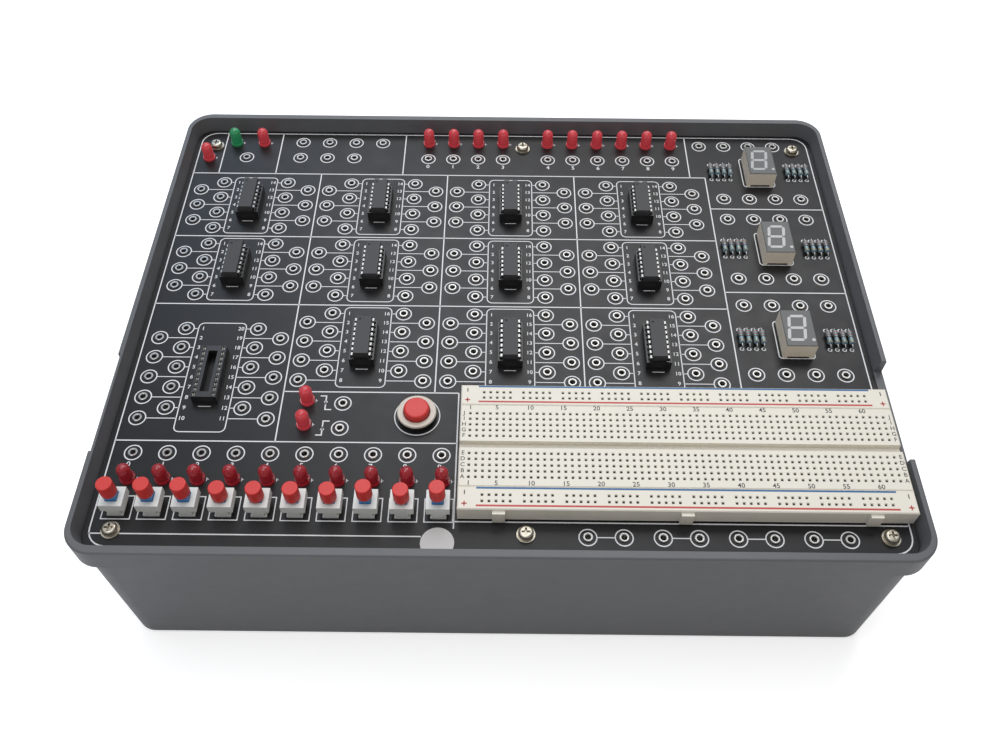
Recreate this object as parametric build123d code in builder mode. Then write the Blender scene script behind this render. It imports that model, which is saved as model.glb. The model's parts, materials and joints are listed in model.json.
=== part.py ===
"""Digital logic trainer: a moulded tray closed by a printed board that carries chip places,
patch sockets, lamps, digit displays, push switches and a solderless breadboard.

Units are millimetres. X is the width, Y runs from the front to the back, Z is up.
The origin lies on the table under the middle of the whole part.
"""

from build123d import *
import os
from math import atan2, cos, degrees, radians, sin

os.makedirs("parts", exist_ok=True)

# ---------------------------------------------------------------- driving dimensions

# Board
BOARD_WIDTH = 300.0
BOARD_DEPTH = 227.2
BOARD_THICKNESS = 1.6
BOARD_RADIUS = 7.0
BOARD_GAP = 0.25            # board edge to tray at the shelf
BOARD_TOP = 66.0            # height of the board's upper face over the table

# Tray
BAND_SIDE = 3.7             # how far the upper band reaches past the board, left and right
BAND_END = 4.8              # and how far the front and rear wall stand past it
BODY_INSET = 1.6            # the narrower box under the band ends this far inside the board
RIM_HEIGHT = 7.0            # rim over the board
WALL = 2.5
FLOOR = 3.0
BAND_FLOOR = 2.4            # thickness of the step that carries the board
BAND_RADIUS = 11.0
BODY_RADIUS = 8.0
BASE_DRAFT = 0.9            # how far each wall leans in from the band down to the base
BASE_EDGE = 2.0
RIM_EDGE = 0.8
RECESS_DRAFT = 1.3          # how far the recess leans out from board to rim
SHELF_REACH = 2.6           # how far the shelf reaches under the board, front and rear
RIB_THICKNESS = 2.0
RIB_FIRST_X = -120.0
RIB_STEP = 48.0
RIBS = 6
NOTCH_REAR = -31.0          # the notch in the right side, measured from the board's middle
NOTCH_FRONT = -76.8
NOTCH_DEPTH = 6.8
LIP_CUT = 1.2               # shallow recess in the left band, level with the notch
CLAMP_PAD = 4.0             # raised pads under the transformer
BOSS_RADIUS = 4.0
PILOT_RADIUS = 1.5
PILOT_DEPTH = 13.0

# Panel screws
SCREW_X = 140.0
SCREW_MIDDLE_X = 9.0
SCREW_REAR_Y = 102.3
SCREW_FRONT_Y = -105.9
SCREW_RADIUS = 1.45
SCREW_HOLE_RADIUS = 1.7
SCREW_HEAD_RADIUS = 2.8
SCREW_HEAD_HEIGHT = 2.2
SCREW_LENGTH = 12.0
SCREW_RECESS_WIDTH = 0.8
SCREW_RECESS_LENGTH = 3.2
SCREW_RECESS_DEPTH = 1.2
WASHER_RADIUS = 3.4
WASHER_THICKNESS = 0.5

# Patch sockets for 2 mm plugs
PATCH_BORE_RADIUS = 1.05
PATCH_BORE_DEPTH = 8.0
PATCH_SHANK_RADIUS = 1.45
PATCH_HOLE_RADIUS = 1.5
PATCH_FLANGE_RADIUS = 1.85
PATCH_FLANGE_HEIGHT = 0.7
PATCH_LENGTH = 9.5          # shank under the board's upper face
PATCH_CHAMFER = 0.25

# Chip places
CHIP_FIELD_X = -26.8        # middle of the four columns
CHIP_STEP_X = 60.0
CHIP_STEP_Y = 40.0
FIRST_PIN_Y = 76.8          # first pin row of the rear chips
PATCH_STEP = 5.0            # from one pin's patch socket to the next
PATCH_INNER_X = 15.0
PATCH_OUTER_X = 25.0
LARGE_CHIP_FIRST_PIN_Y = -12.2
LARGE_SOCKET_DROP = 2.5     # the 20-way socket sits this much below its patch rows' middle

# DIP sockets and chips
PIN_PITCH = 2.54
ROW_SPACING = 7.62
DIP_WIDTH = 10.1
DIP_HEIGHT = 4.3
DIP_WINDOW_WIDTH = 3.6
DIP_END_BAR = 2.6
CONTACT_SLOT_X = 1.3
CONTACT_SLOT_Y = 1.5
CONTACT_FLOOR = 0.4
TAIL_LENGTH = 3.4           # under the board's upper face
CHIP_WIDTH = 6.35
CHIP_THICKNESS = 3.3
CHIP_STANDOFF = 0.5         # chip body over its socket
CHIP_LENGTHS = {7: 19.3, 8: 19.8}
CHIP_FLANK_ANGLE = 7.0
LEAD_FRAME_BAND = 0.3       # upright band around the chip where its pins leave
CHIP_NOTCH_RADIUS = 0.8
CHIP_NOTCH_DEPTH = 0.5
CHIP_PIN_THICKNESS = 0.25
CHIP_PIN_SHOULDER = 1.4
CHIP_PIN_BLADE = 0.46
CHIP_PIN_REACH = 2.6        # blade inside its socket

# Lamps
LAMP_RADIUS = 2.5
LAMP_FLANGE_RADIUS = 2.9
LAMP_FLANGE_HEIGHT = 1.0
LAMP_HEIGHT = 8.7

# Digit displays
DISPLAY_WIDTH = 12.6
DISPLAY_DEPTH = 19.0
DISPLAY_HEIGHT = 8.0
DISPLAY_SLOT_WIDTH = 9.0
DISPLAY_SLOT_HEIGHT = 0.9
DISPLAY_SLOT_DEPTH = 1.4
DISPLAY_EDGE = 0.3
SEGMENT_STROKE = 1.3
SEGMENT_GAP = 0.25
SEGMENT_DEPTH = 1.0
SEGMENT_FIT = 0.03
DIGIT_HALF_HEIGHT = 6.2     # middle of the digit to the middle of its top stroke
DIGIT_HALF_WIDTH = 3.2
DIGIT_SHIFT = -0.7
DIGIT_SLANT = 8.0
POINT_RADIUS = 0.75
POINT_X = 5.0

# Resistors
RESISTOR_LENGTH = 6.3
RESISTOR_RADIUS = 1.15
RESISTOR_WAIST_RADIUS = 0.9
RESISTOR_CAP = 1.4
RESISTOR_LIFT = 1.9         # axis over the board
RESISTOR_SPAN = 10.16
RESISTOR_WIRE_RADIUS = 0.28
RESISTOR_BEND = 0.8
RESISTOR_PITCH = 3.0
RESISTORS_PER_SIDE = 4

# Breadboard
BREADBOARD_X = 66.75
BREADBOARD_Y = -72.7
BREADBOARD_LENGTH = 165.1
CENTRE_BLOCK_DEPTH = 35.8
RAIL_DEPTH = 9.4
BREADBOARD_HEIGHT = 7.45
BREADBOARD_EDGE = 0.4
PAD_THICKNESS = 0.5
PAD_MARGIN = 1.0
STRIP_COLUMNS = 63
STRIP_ROWS = 5
STRIP_HALF_GAP = 3.81       # from the middle line to the first row
CLIP_SLOT_WIDTH = 1.7
CLIP_SLOT_MARGIN = 1.0      # slot past its end holes
TOP_SKIN = 1.8
GROOVE_WIDTH = 3.0
GROOVE_DEPTH = 3.5
RAIL_GROUPS = 10
RAIL_GROUP_HOLES = 5
CLIP_THICKNESS = 0.3
CLIP_WIDTH = 1.1
CLIP_HEIGHT = 5.2
CLIP_END_GAP = 0.3
LUG_WIDTH = 4.6
LUG_REACH = 1.4
LUG_HEIGHT = 6.3
LUG_STEP = 67.6
LUG_CLEARANCE = 0.2

# Input switches
INPUTS = 10
INPUT_FIRST_X = -139.7
INPUT_STEP = 13.0
INPUT_PATCH_Y = -73.0
INPUT_LAMP_Y = -84.3
INPUT_LAMP_SHIFT = 0.8
SWITCH_Y = -96.0
SWITCH_WIDTH = 8.5
SWITCH_DEPTH = 8.0
SWITCH_TOP = 7.4
SWITCH_BLOCK_HEIGHT = 3.8
SWITCH_WAIST_WIDTH = 4.6
SWITCH_FOOT_WIDTH = 5.8
SWITCH_FOOT_HEIGHT = 1.0
STEM_WIDTH = 4.0
STEM_IN_CAP = 4.0
STEM_IN_BODY = 1.0          # square part inside a released switch
STEM_TONGUE_WIDTH = 3.0
STEM_TONGUE_LENGTH = 3.0
STEM_CLEARANCE = 0.15
CAP_RADIUS = 2.9
CAP_HEIGHT = 6.3
CAP_BOTTOM = 10.5           # underside of a released cap over the board
CAP_FIT = 0.02
LATCH_DROP = 2.0            # how much lower a latched stem stands
LATCHED_INPUTS = (3, 4, 5, 6, 8)

# Pulser
PULSER_X = -33.0
PULSER_Y = -55.1
PULSER_RING_RADIUS = 6.9
PULSER_RING_HEIGHT = 2.6
PULSER_BEZEL_RADIUS = 7.6
PULSER_BEZEL_HEIGHT = 0.9
PULSER_THREAD_RADIUS = 5.9
PULSER_HOLE_RADIUS = 6.1
PULSER_FLANGE_RADIUS = 8.0
PULSER_FLANGE_HEIGHT = 2.0
PULSER_BODY_LENGTH = 12.0
PULSER_BUTTON_RADIUS = 4.95
PULSER_BUTTON_TOP = 6.3
PULSER_BUTTON_GAP = 0.2
PULSER_BUTTON_LENGTH = 8.0
PULSER_BUTTON_EDGE = 1.0
PULSER_BOTTOM_GAP = 0.4
PULSER_TRAVEL = 1.8
PULSER_TAB_WIDTH = 2.4
PULSER_TAB_THICKNESS = 0.5
PULSER_TAB_LENGTH = 4.0
PULSER_TAB_SPACING = 6.0
RING_FIT = 0.1

# Sticker
STICKER_X = -22.7
STICKER_Y = -109.5
STICKER_RADIUS = 6.1
STICKER_THICKNESS = 0.1

# Places in the panel's blocks, from the board's middle
POWER_LAMP = (-142.1, 94.0)
PROBE_GREEN_LAMP = (-130.5, 105.0)
PROBE_RED_LAMP = (-117.1, 105.0)
PROBE_PATCH = (-124.2, 94.6)
HEADER_REAR_Y = 105.7
HEADER_FRONT_Y = 94.6
CLOCK_FIRST_X = -98.3
CLOCK_STEP = 13.0
CLOCK_REAR_COUNT = 4
CLOCK_FRONT_COUNT = 3
INDICATOR_STEP = 12.0
INDICATOR_LEFT_X = -36.5
INDICATOR_LEFT_COUNT = 4
INDICATOR_RIGHT_X = 21.1
INDICATOR_RIGHT_COUNT = 6
DISPLAY_X = 121.0
DISPLAY_Y = (87.1, 36.9, -15.0)
DISPLAY_PATCHES = 4
DISPLAY_PATCH_STEP = 12.0
DISPLAY_PATCH_X = 102.8
FIRST_REAR_PATCH_X = 95.3
DISPLAY_REAR_PATCH_Y = (105.7, 55.5, 3.5)
DISPLAY_FRONT_PATCH_Y = (68.9, 18.9, -33.2)
RESISTOR_LEFT_X = 98.7
RESISTOR_RIGHT_X = 135.0
PULSER_LAMP_X = -76.6
PULSER_LAMP_Y = (-48.2, -59.5)
PULSER_PATCH_X = -62.6
PULSER_PATCH_Y = (-49.4, -61.1)
SUPPLY_FIRST_X = 31.25
SUPPLY_PAIR_STEP = 27.0
SUPPLY_PAIR_GAP = 13.0
SUPPLY_PAIRS = 4
SUPPLY_Y = -106.7

# Mains inlet in the rear wall
INLET_X = 96.0
INLET_Z = 30.0
INLET_WIDTH = 27.4
INLET_HEIGHT = 20.0
INLET_BEZEL_MARGIN = 1.8
INLET_BEZEL = 2.0
INLET_DEPTH = 18.0          # behind the bezel
INLET_CAVITY_WIDTH = 24.4
INLET_CAVITY_HEIGHT = 16.4
INLET_CAVITY_DEPTH = 16.0
INLET_FIT = 0.2
INLET_CORNER = 4.0
SNAP_LENGTH = 3.0
SNAP_HEIGHT = 1.0
SNAP_WIDTH = 6.0
BLADE_FIT = 0.02
BLADE_WIDTH = 4.0
BLADE_THICKNESS = 2.0
BLADE_SPACING = 14.0
BLADE_RISE = 4.0
BLADE_RECESS = 6.0          # blade tips behind the mouth
BLADE_TAB = 7.0             # behind the inlet

# Rocker power switch in the rear wall
ROCKER_X = 48.0
ROCKER_Z = 30.0
ROCKER_FRAME_WIDTH = 12.8
ROCKER_FRAME_HEIGHT = 19.0
ROCKER_BEZEL_MARGIN = 1.1
ROCKER_BEZEL = 2.0
ROCKER_BODY_DEPTH = 14.0
ROCKER_WALL = 1.2
ROCKER_GAP = 0.3
ROCKER_RIDGE = 5.2          # ridge over the hinge pin, which lies level with the wall's face
ROCKER_DROOP = 2.6          # how far each face falls from the ridge to its end
ROCKER_ANGLE = 10.0
ROCKER_THICKNESS = 5.0
ROCKER_PIN_RADIUS = 1.0
ROCKER_INLAY = 0.2          # pin ends under the frame's outer faces
ROCKER_PIN_FIT = 0.05
ROCKER_TAB_LENGTH = 7.0
ROCKER_TAB_WIDTH = 4.0
ROCKER_TAB_THICKNESS = 0.8

# Transformer
CORE_X = 100.0
CORE_Y = 42.0
CORE_WIDTH = 48.0
CORE_HEIGHT = 40.0
CORE_STACK = 24.0
CORE_LIMB = 8.0
COIL_BUILD = 7.0            # thickness of the winding on each side of the limb
COIL_EDGE = 4.0
COIL_GAP = 0.3
CLAMP_THICKNESS = 1.0
CLAMP_FOOT = 12.0

# Supply board
SUPPLY_BOARD_X = 5.0
SUPPLY_BOARD_Y = 45.0
SUPPLY_BOARD_WIDTH = 110.0
SUPPLY_BOARD_DEPTH = 70.0
SUPPLY_BOARD_THICKNESS = 1.6
STANDOFF_HEIGHT = 8.0
STANDOFF_RADIUS = 3.5
STANDOFF_INSET = 5.0
CAPACITOR_RADIUS = 8.0
CAPACITOR_HEIGHT = 25.0
CAPACITOR_STEP = 20.0
CAPACITORS = 3
HEATSINK_WIDTH = 70.0
HEATSINK_BASE = 3.0
HEATSINK_HEIGHT = 25.0
HEATSINK_FIN = 12.0
HEATSINK_FIN_THICKNESS = 1.2
HEATSINK_FINS = 12
REGULATORS = 3
REGULATOR_STEP = 20.0
REGULATOR_WIDTH = 10.2
REGULATOR_HEIGHT = 9.0
REGULATOR_THICKNESS = 3.1
REGULATOR_TAB = 1.3
REGULATOR_TAB_RISE = 6.5
REGULATOR_LEG = 0.7
REGULATOR_LEG_PITCH = 2.54
REGULATOR_LIFT = 8.0
INSIDE_SCREW_LENGTH = 6.0
WIRE_RADIUS = 0.9
WIRE_BEND = 6.0
WIRE_TURN = 12.0

# ---------------------------------------------------------------- dependent sizes

TRAY_WIDTH = BOARD_WIDTH + 2 * BAND_SIDE     # over the upper band
TRAY_DEPTH = BOARD_DEPTH + 2 * BAND_END      # front wall to rear wall
BODY_WIDTH = BOARD_WIDTH - 2 * BODY_INSET    # the box under the band
RIM_TOP = BOARD_TOP + RIM_HEIGHT
BOARD_BOTTOM = BOARD_TOP - BOARD_THICKNESS
BAND_BOTTOM = BOARD_BOTTOM - BAND_FLOOR
SEAT_TOP = INLET_Z + INLET_HEIGHT / 2 + INLET_BEZEL_MARGIN
SEAT_DROP = BASE_DRAFT * (1 - SEAT_TOP / BAND_BOTTOM)   # the rear wall leans in this much there
REAR_STICKOUT = ROCKER_RIDGE * cos(radians(ROCKER_ANGLE)) - SEAT_DROP
TRAY_Y = -REAR_STICKOUT / 2                  # the tray's middle, so that the whole part is centred
REAR_FACE = TRAY_Y + TRAY_DEPTH / 2
REAR_SEAT = REAR_FACE - SEAT_DROP
BREADBOARD_DEPTH = CENTRE_BLOCK_DEPTH + 2 * RAIL_DEPTH

table_plane = Plane((0, TRAY_Y, 0))
board_plane = Plane((0, TRAY_Y, BOARD_TOP))


def on_board(height):
    """The plane at this height over the board's upper face, centred on the board."""
    return board_plane.offset(height)


# ---------------------------------------------------------------- places on the board


def chip_places():
    """Each chip place as (x of its middle, y of its first pin, pins on a side, drop of its socket)."""
    places = []
    for column in range(4):
        x = CHIP_FIELD_X + (column - 1.5) * CHIP_STEP_X
        places.append((x, FIRST_PIN_Y, 7, 0.0))
        places.append((x, FIRST_PIN_Y - CHIP_STEP_Y, 7, 0.0))
        if column > 0:
            places.append((x, FIRST_PIN_Y - 2 * CHIP_STEP_Y, 8, 0.0))
    places.append((CHIP_FIELD_X - 1.5 * CHIP_STEP_X, LARGE_CHIP_FIRST_PIN_Y, 10, LARGE_SOCKET_DROP))
    return places


def socket_centre(place):
    """The middle of a chip place's DIP socket."""
    x, first_y, pins, drop = place
    return (x, first_y - (pins - 1) * PATCH_STEP / 2 - drop)


def chip_patch_points():
    """Every chip pin's patch socket, in two staggered columns on each side of the chip."""
    points = []
    for x, first_y, pins, drop in chip_places():
        for row in range(pins):
            reach = PATCH_INNER_X if row % 2 == 0 else PATCH_OUTER_X
            points.append((x - reach, first_y - row * PATCH_STEP))
            points.append((x + reach, first_y - row * PATCH_STEP))
    return points


def row_of(first_x, step, count, y):
    """Evenly spaced places along X."""
    return [(first_x + step * k, y) for k in range(count)]


def indicator_points(y):
    """The ten output lamps' places, four left and six right of the middle screw."""
    left = row_of(INDICATOR_LEFT_X, INDICATOR_STEP, INDICATOR_LEFT_COUNT, y)
    return left + row_of(INDICATOR_RIGHT_X, INDICATOR_STEP, INDICATOR_RIGHT_COUNT, y)


def panel_patch_points():
    """The patch sockets of the probe, clock, indicator, display, pulser and input blocks."""
    points = [PROBE_PATCH]
    points += row_of(CLOCK_FIRST_X, CLOCK_STEP, CLOCK_REAR_COUNT, HEADER_REAR_Y)
    points += row_of(CLOCK_FIRST_X, CLOCK_STEP, CLOCK_FRONT_COUNT, HEADER_FRONT_Y)
    points += indicator_points(HEADER_FRONT_Y)
    for index, y in enumerate(DISPLAY_REAR_PATCH_Y):
        first_x = FIRST_REAR_PATCH_X if index == 0 else DISPLAY_PATCH_X
        points += row_of(first_x, DISPLAY_PATCH_STEP, DISPLAY_PATCHES, y)
    for y in DISPLAY_FRONT_PATCH_Y:
        points += row_of(DISPLAY_PATCH_X, DISPLAY_PATCH_STEP, DISPLAY_PATCHES, y)
    points += [(PULSER_PATCH_X, y) for y in PULSER_PATCH_Y]
    points += row_of(INPUT_FIRST_X, INPUT_STEP, INPUTS, INPUT_PATCH_Y)
    return points


def supply_patch_points():
    """The four pairs of supply outlets."""
    points = []
    for x, y in row_of(SUPPLY_FIRST_X, SUPPLY_PAIR_STEP, SUPPLY_PAIRS, SUPPLY_Y):
        points += [(x, y), (x + SUPPLY_PAIR_GAP, y)]
    return points


def red_lamp_points():
    """The red lamps: power, probe, outputs, pulser and inputs."""
    points = [POWER_LAMP, PROBE_RED_LAMP]
    points += indicator_points(HEADER_REAR_Y)
    points += [(PULSER_LAMP_X, y) for y in PULSER_LAMP_Y]
    points += row_of(INPUT_FIRST_X + INPUT_LAMP_SHIFT, INPUT_STEP, INPUTS, INPUT_LAMP_Y)
    return points


def resistor_points():
    """The middle of each resistor, four on each side of every display."""
    points = []
    for y in DISPLAY_Y:
        points += row_of(RESISTOR_LEFT_X, RESISTOR_PITCH, RESISTORS_PER_SIDE, y)
        points += row_of(RESISTOR_RIGHT_X, RESISTOR_PITCH, RESISTORS_PER_SIDE, y)
    return points


def switch_points():
    """The middle of each input switch."""
    return row_of(INPUT_FIRST_X, INPUT_STEP, INPUTS, SWITCH_Y)


def screw_points():
    """The six panel screws."""
    columns = (-SCREW_X, SCREW_MIDDLE_X, SCREW_X)
    return [(x, y) for y in (SCREW_FRONT_Y, SCREW_REAR_Y) for x in columns]


def standoff_points():
    """The four standoffs of the supply board."""
    reach_x = SUPPLY_BOARD_WIDTH / 2 - STANDOFF_INSET
    reach_y = SUPPLY_BOARD_DEPTH / 2 - STANDOFF_INSET
    corners = [(sx, sy) for sx in (-1, 1) for sy in (-1, 1)]
    return [(SUPPLY_BOARD_X + sx * reach_x, SUPPLY_BOARD_Y + sy * reach_y) for sx, sy in corners]


def clamp_screw_points():
    """The two screws through the feet of the transformer's clamp."""
    reach = CORE_WIDTH / 2 + CLAMP_THICKNESS + CLAMP_FOOT / 2
    return [(CORE_X - reach, CORE_Y), (CORE_X + reach, CORE_Y)]


def transformer_points():
    """Both pads that carry the core."""
    return [(CORE_X - CORE_WIDTH / 3, CORE_Y), (CORE_X + CORE_WIDTH / 3, CORE_Y)]


# ---------------------------------------------------------------- tray

BAND_HEIGHT = RIM_TOP - BAND_BOTTOM
BASE_WIDTH = BODY_WIDTH - 2 * BASE_DRAFT
BASE_DEPTH = TRAY_DEPTH - 2 * BASE_DRAFT
RECESS_WIDTH = BOARD_WIDTH + 2 * BOARD_GAP
RECESS_DEPTH = BOARD_DEPTH + 2 * BOARD_GAP
CAVITY_WIDTH = BASE_WIDTH - 2 * WALL
CAVITY_DEPTH = BASE_DEPTH - 2 * WALL
SHELF_WIDTH = BODY_WIDTH - 2 * WALL
SHELF_DEPTH = BOARD_DEPTH - 2 * SHELF_REACH
RIB_HEIGHT = BAND_BOTTOM - FLOOR
PAD_TOP = FLOOR + CLAMP_PAD
STANDOFF_TOP = FLOOR + STANDOFF_HEIGHT
wall_draft = degrees(atan2(BASE_DRAFT, BAND_BOTTOM))
recess_draft = degrees(atan2(RECESS_DRAFT, RIM_HEIGHT))

with BuildPart() as case_tray:
    # the box under the band, widening upwards
    with BuildSketch(table_plane):
        RectangleRounded(BASE_WIDTH, BASE_DEPTH, BODY_RADIUS)
    extrude(amount=BAND_BOTTOM, taper=-wall_draft)
    fillet(case_tray.edges().group_by(Axis.Z)[0], BASE_EDGE)
    # the band
    with BuildSketch(table_plane.offset(BAND_BOTTOM)):
        RectangleRounded(TRAY_WIDTH, TRAY_DEPTH, BAND_RADIUS)
    extrude(amount=BAND_HEIGHT)
    fillet(case_tray.edges().group_by(Axis.Z)[-1], RIM_EDGE)
    # recess over the board
    with BuildSketch(table_plane.offset(BOARD_BOTTOM)):
        RectangleRounded(RECESS_WIDTH, RECESS_DEPTH, BOARD_RADIUS + BOARD_GAP)
    extrude(amount=BOARD_THICKNESS, mode=Mode.SUBTRACT)
    with BuildSketch(board_plane):
        RectangleRounded(RECESS_WIDTH, RECESS_DEPTH, BOARD_RADIUS + BOARD_GAP)
    extrude(amount=RIM_HEIGHT, taper=-recess_draft, mode=Mode.SUBTRACT)
    # shelf that carries the board's edge
    with BuildSketch(table_plane.offset(BAND_BOTTOM)):
        RectangleRounded(SHELF_WIDTH, SHELF_DEPTH, BOARD_RADIUS)
    extrude(amount=BAND_FLOOR, mode=Mode.SUBTRACT)
    # the cavity
    with BuildSketch(table_plane.offset(FLOOR)):
        RectangleRounded(CAVITY_WIDTH, CAVITY_DEPTH, BODY_RADIUS - WALL)
    extrude(amount=RIB_HEIGHT, taper=-wall_draft, mode=Mode.SUBTRACT)
    # ribs under the front and rear shelf
    rib_reach = (CAVITY_DEPTH - SHELF_DEPTH + WALL) / 2 + BASE_DRAFT
    with BuildSketch(table_plane.offset(FLOOR)):
        for x in [RIB_FIRST_X + RIB_STEP * k for k in range(RIBS)]:
            for side in (-1, 1):
                with Locations((x, side * (SHELF_DEPTH + rib_reach) / 2)):
                    Rectangle(RIB_THICKNESS, rib_reach)
    extrude(amount=RIB_HEIGHT)
    # bosses for the panel screws, with a web to the nearest wall
    with BuildSketch(table_plane.offset(FLOOR)):
        with Locations(*screw_points()):
            Circle(BOSS_RADIUS)
        for x, y in screw_points():
            side = 1 if y > 0 else -1
            reach = (CAVITY_DEPTH + WALL) / 2 - abs(y) + BASE_DRAFT
            with Locations((x, y + side * reach / 2)):
                Rectangle(RIB_THICKNESS, reach)
    extrude(amount=RIB_HEIGHT)
    with BuildSketch(table_plane.offset(BAND_BOTTOM)):
        with Locations(*screw_points()):
            Circle(BOSS_RADIUS)
    extrude(amount=BAND_FLOOR)
    with BuildSketch(table_plane.offset(BOARD_BOTTOM)):
        with Locations(*screw_points()):
            Circle(PILOT_RADIUS)
    extrude(amount=-PILOT_DEPTH, mode=Mode.SUBTRACT)
    # pads and standoffs on the floor
    with BuildSketch(table_plane.offset(FLOOR)):
        with Locations(*clamp_screw_points()):
            Circle(BOSS_RADIUS)
        with Locations(*transformer_points()):
            Rectangle(CORE_WIDTH / 6, CORE_STACK)
    extrude(amount=CLAMP_PAD)
    with BuildSketch(table_plane.offset(FLOOR)):
        with Locations(*standoff_points()):
            Circle(STANDOFF_RADIUS)
    extrude(amount=STANDOFF_HEIGHT)
    with BuildSketch(table_plane.offset(PAD_TOP)):
        with Locations(*clamp_screw_points()):
            Circle(PILOT_RADIUS)
    extrude(amount=-(CLAMP_PAD + FLOOR / 2), mode=Mode.SUBTRACT)
    with BuildSketch(table_plane.offset(STANDOFF_TOP)):
        with Locations(*standoff_points()):
            Circle(PILOT_RADIUS)
    extrude(amount=-INSIDE_SCREW_LENGTH, mode=Mode.SUBTRACT)
    # notch in the right side and shallow recess in the left band
    notch_middle = (NOTCH_REAR + NOTCH_FRONT) / 2
    notch_length = NOTCH_REAR - NOTCH_FRONT
    with BuildSketch(table_plane.offset(RIM_TOP)):
        with Locations((TRAY_WIDTH / 2, notch_middle)):
            Rectangle(TRAY_WIDTH - RECESS_WIDTH + 2 * WALL, notch_length)
    extrude(amount=-NOTCH_DEPTH, mode=Mode.SUBTRACT)
    with BuildSketch(table_plane.offset(RIM_TOP)):
        with Locations((-TRAY_WIDTH / 2, notch_middle)):
            Rectangle(2 * LIP_CUT, notch_length)
    extrude(amount=-BAND_HEIGHT, mode=Mode.SUBTRACT)
    # openings in the rear wall
    with BuildSketch(Plane.XZ.offset(-(REAR_FACE + WALL))):
        with Locations((INLET_X, INLET_Z)):
            Rectangle(INLET_WIDTH + 2 * INLET_FIT, INLET_HEIGHT + 2 * INLET_FIT)
        with Locations((ROCKER_X, ROCKER_Z)):
            Rectangle(ROCKER_FRAME_WIDTH + 2 * INLET_FIT, ROCKER_FRAME_HEIGHT + 2 * INLET_FIT)
    extrude(amount=3 * WALL, mode=Mode.SUBTRACT)
case_tray.part.label = "case_tray"
export_step(case_tray.part, "parts/case_tray.step")

# ---------------------------------------------------------------- board and its screws

patch_points = chip_patch_points() + panel_patch_points() + supply_patch_points()

with BuildPart() as main_board:
    with BuildSketch(board_plane):
        RectangleRounded(BOARD_WIDTH, BOARD_DEPTH, BOARD_RADIUS)
        with Locations(*screw_points()):
            Circle(SCREW_HOLE_RADIUS, mode=Mode.SUBTRACT)
        with Locations(*patch_points):
            Circle(PATCH_HOLE_RADIUS, mode=Mode.SUBTRACT)
        with Locations((PULSER_X, PULSER_Y)):
            Circle(PULSER_HOLE_RADIUS, mode=Mode.SUBTRACT)
    extrude(amount=-BOARD_THICKNESS)
main_board.part.label = "main_board"
export_step(main_board.part, "parts/main_board.step")

with BuildPart() as screw_washers:
    with BuildSketch(board_plane):
        with Locations(*screw_points()):
            Circle(WASHER_RADIUS)
            Circle(SCREW_HOLE_RADIUS, mode=Mode.SUBTRACT)
    extrude(amount=WASHER_THICKNESS)
screw_washers.part.label = "screw_washers"
export_step(screw_washers.part, "parts/screw_washers.step")

with BuildPart() as panel_screws:
    with BuildSketch(on_board(WASHER_THICKNESS)):
        with Locations(*screw_points()):
            Circle(SCREW_HEAD_RADIUS)
    extrude(amount=SCREW_HEAD_HEIGHT)
    fillet(panel_screws.edges().group_by(Axis.Z)[-1], SCREW_HEAD_HEIGHT / 2)
    with BuildSketch(on_board(WASHER_THICKNESS)):
        with Locations(*screw_points()):
            Circle(SCREW_RADIUS)
    extrude(amount=-SCREW_LENGTH)
    with BuildSketch(on_board(WASHER_THICKNESS + SCREW_HEAD_HEIGHT)):
        with Locations(*screw_points()):
            Rectangle(SCREW_RECESS_LENGTH, SCREW_RECESS_WIDTH)
            Rectangle(SCREW_RECESS_WIDTH, SCREW_RECESS_LENGTH)
    extrude(amount=-SCREW_RECESS_DEPTH, mode=Mode.SUBTRACT)
panel_screws.part.label = "panel_screws"
export_step(panel_screws.part, "parts/panel_screws.step")

# ---------------------------------------------------------------- patch sockets

with BuildPart() as patch_unit:
    with BuildSketch(Plane.XY):
        Circle(PATCH_FLANGE_RADIUS)
    extrude(amount=PATCH_FLANGE_HEIGHT)
    with BuildSketch(Plane.XY):
        Circle(PATCH_SHANK_RADIUS)
    extrude(amount=-PATCH_LENGTH)
    with BuildSketch(Plane.XY.offset(PATCH_FLANGE_HEIGHT)):
        Circle(PATCH_BORE_RADIUS)
    extrude(amount=-PATCH_BORE_DEPTH, mode=Mode.SUBTRACT)
    mouth = patch_unit.faces().filter_by(Plane.XY).sort_by(Axis.Z)[-1]
    chamfer(mouth.edges(), PATCH_CHAMFER)


def place_copies(unit, plane, points):
    """Separate copies of one solid at places on a plane."""
    copies = []
    for x, y in points:
        copies.append(plane.location * Pos(x, y, 0) * unit)
    return Compound(children=copies)


def write_group(group, name):
    """Label a group of separate solids and write it."""
    group.label = name
    export_step(group, "parts/" + name + ".step")


write_group(place_copies(patch_unit.part, board_plane, patch_points), "patch_sockets")

# ---------------------------------------------------------------- DIP sockets and chips

CHIP_BOTTOM = DIP_HEIGHT + CHIP_STANDOFF
CHIP_MIDDLE = CHIP_BOTTOM + CHIP_THICKNESS / 2


def dip_socket(pins):
    """A DIP socket with this many pins on a side, standing on its own middle."""
    length = pins * PIN_PITCH
    slots = [(side * ROW_SPACING / 2, (row - (pins - 1) / 2) * PIN_PITCH)
             for side in (-1, 1) for row in range(pins)]
    with BuildPart() as socket:
        with BuildSketch(Plane.XY):
            Rectangle(DIP_WIDTH, length)
            Rectangle(DIP_WINDOW_WIDTH, length - 2 * DIP_END_BAR, mode=Mode.SUBTRACT)
        extrude(amount=DIP_HEIGHT)
        with BuildSketch(Plane.XY.offset(DIP_HEIGHT)):
            with Locations(*slots):
                Rectangle(CONTACT_SLOT_X, CONTACT_SLOT_Y)
        extrude(amount=-(DIP_HEIGHT - CONTACT_FLOOR), mode=Mode.SUBTRACT)
    return socket.part


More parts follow.
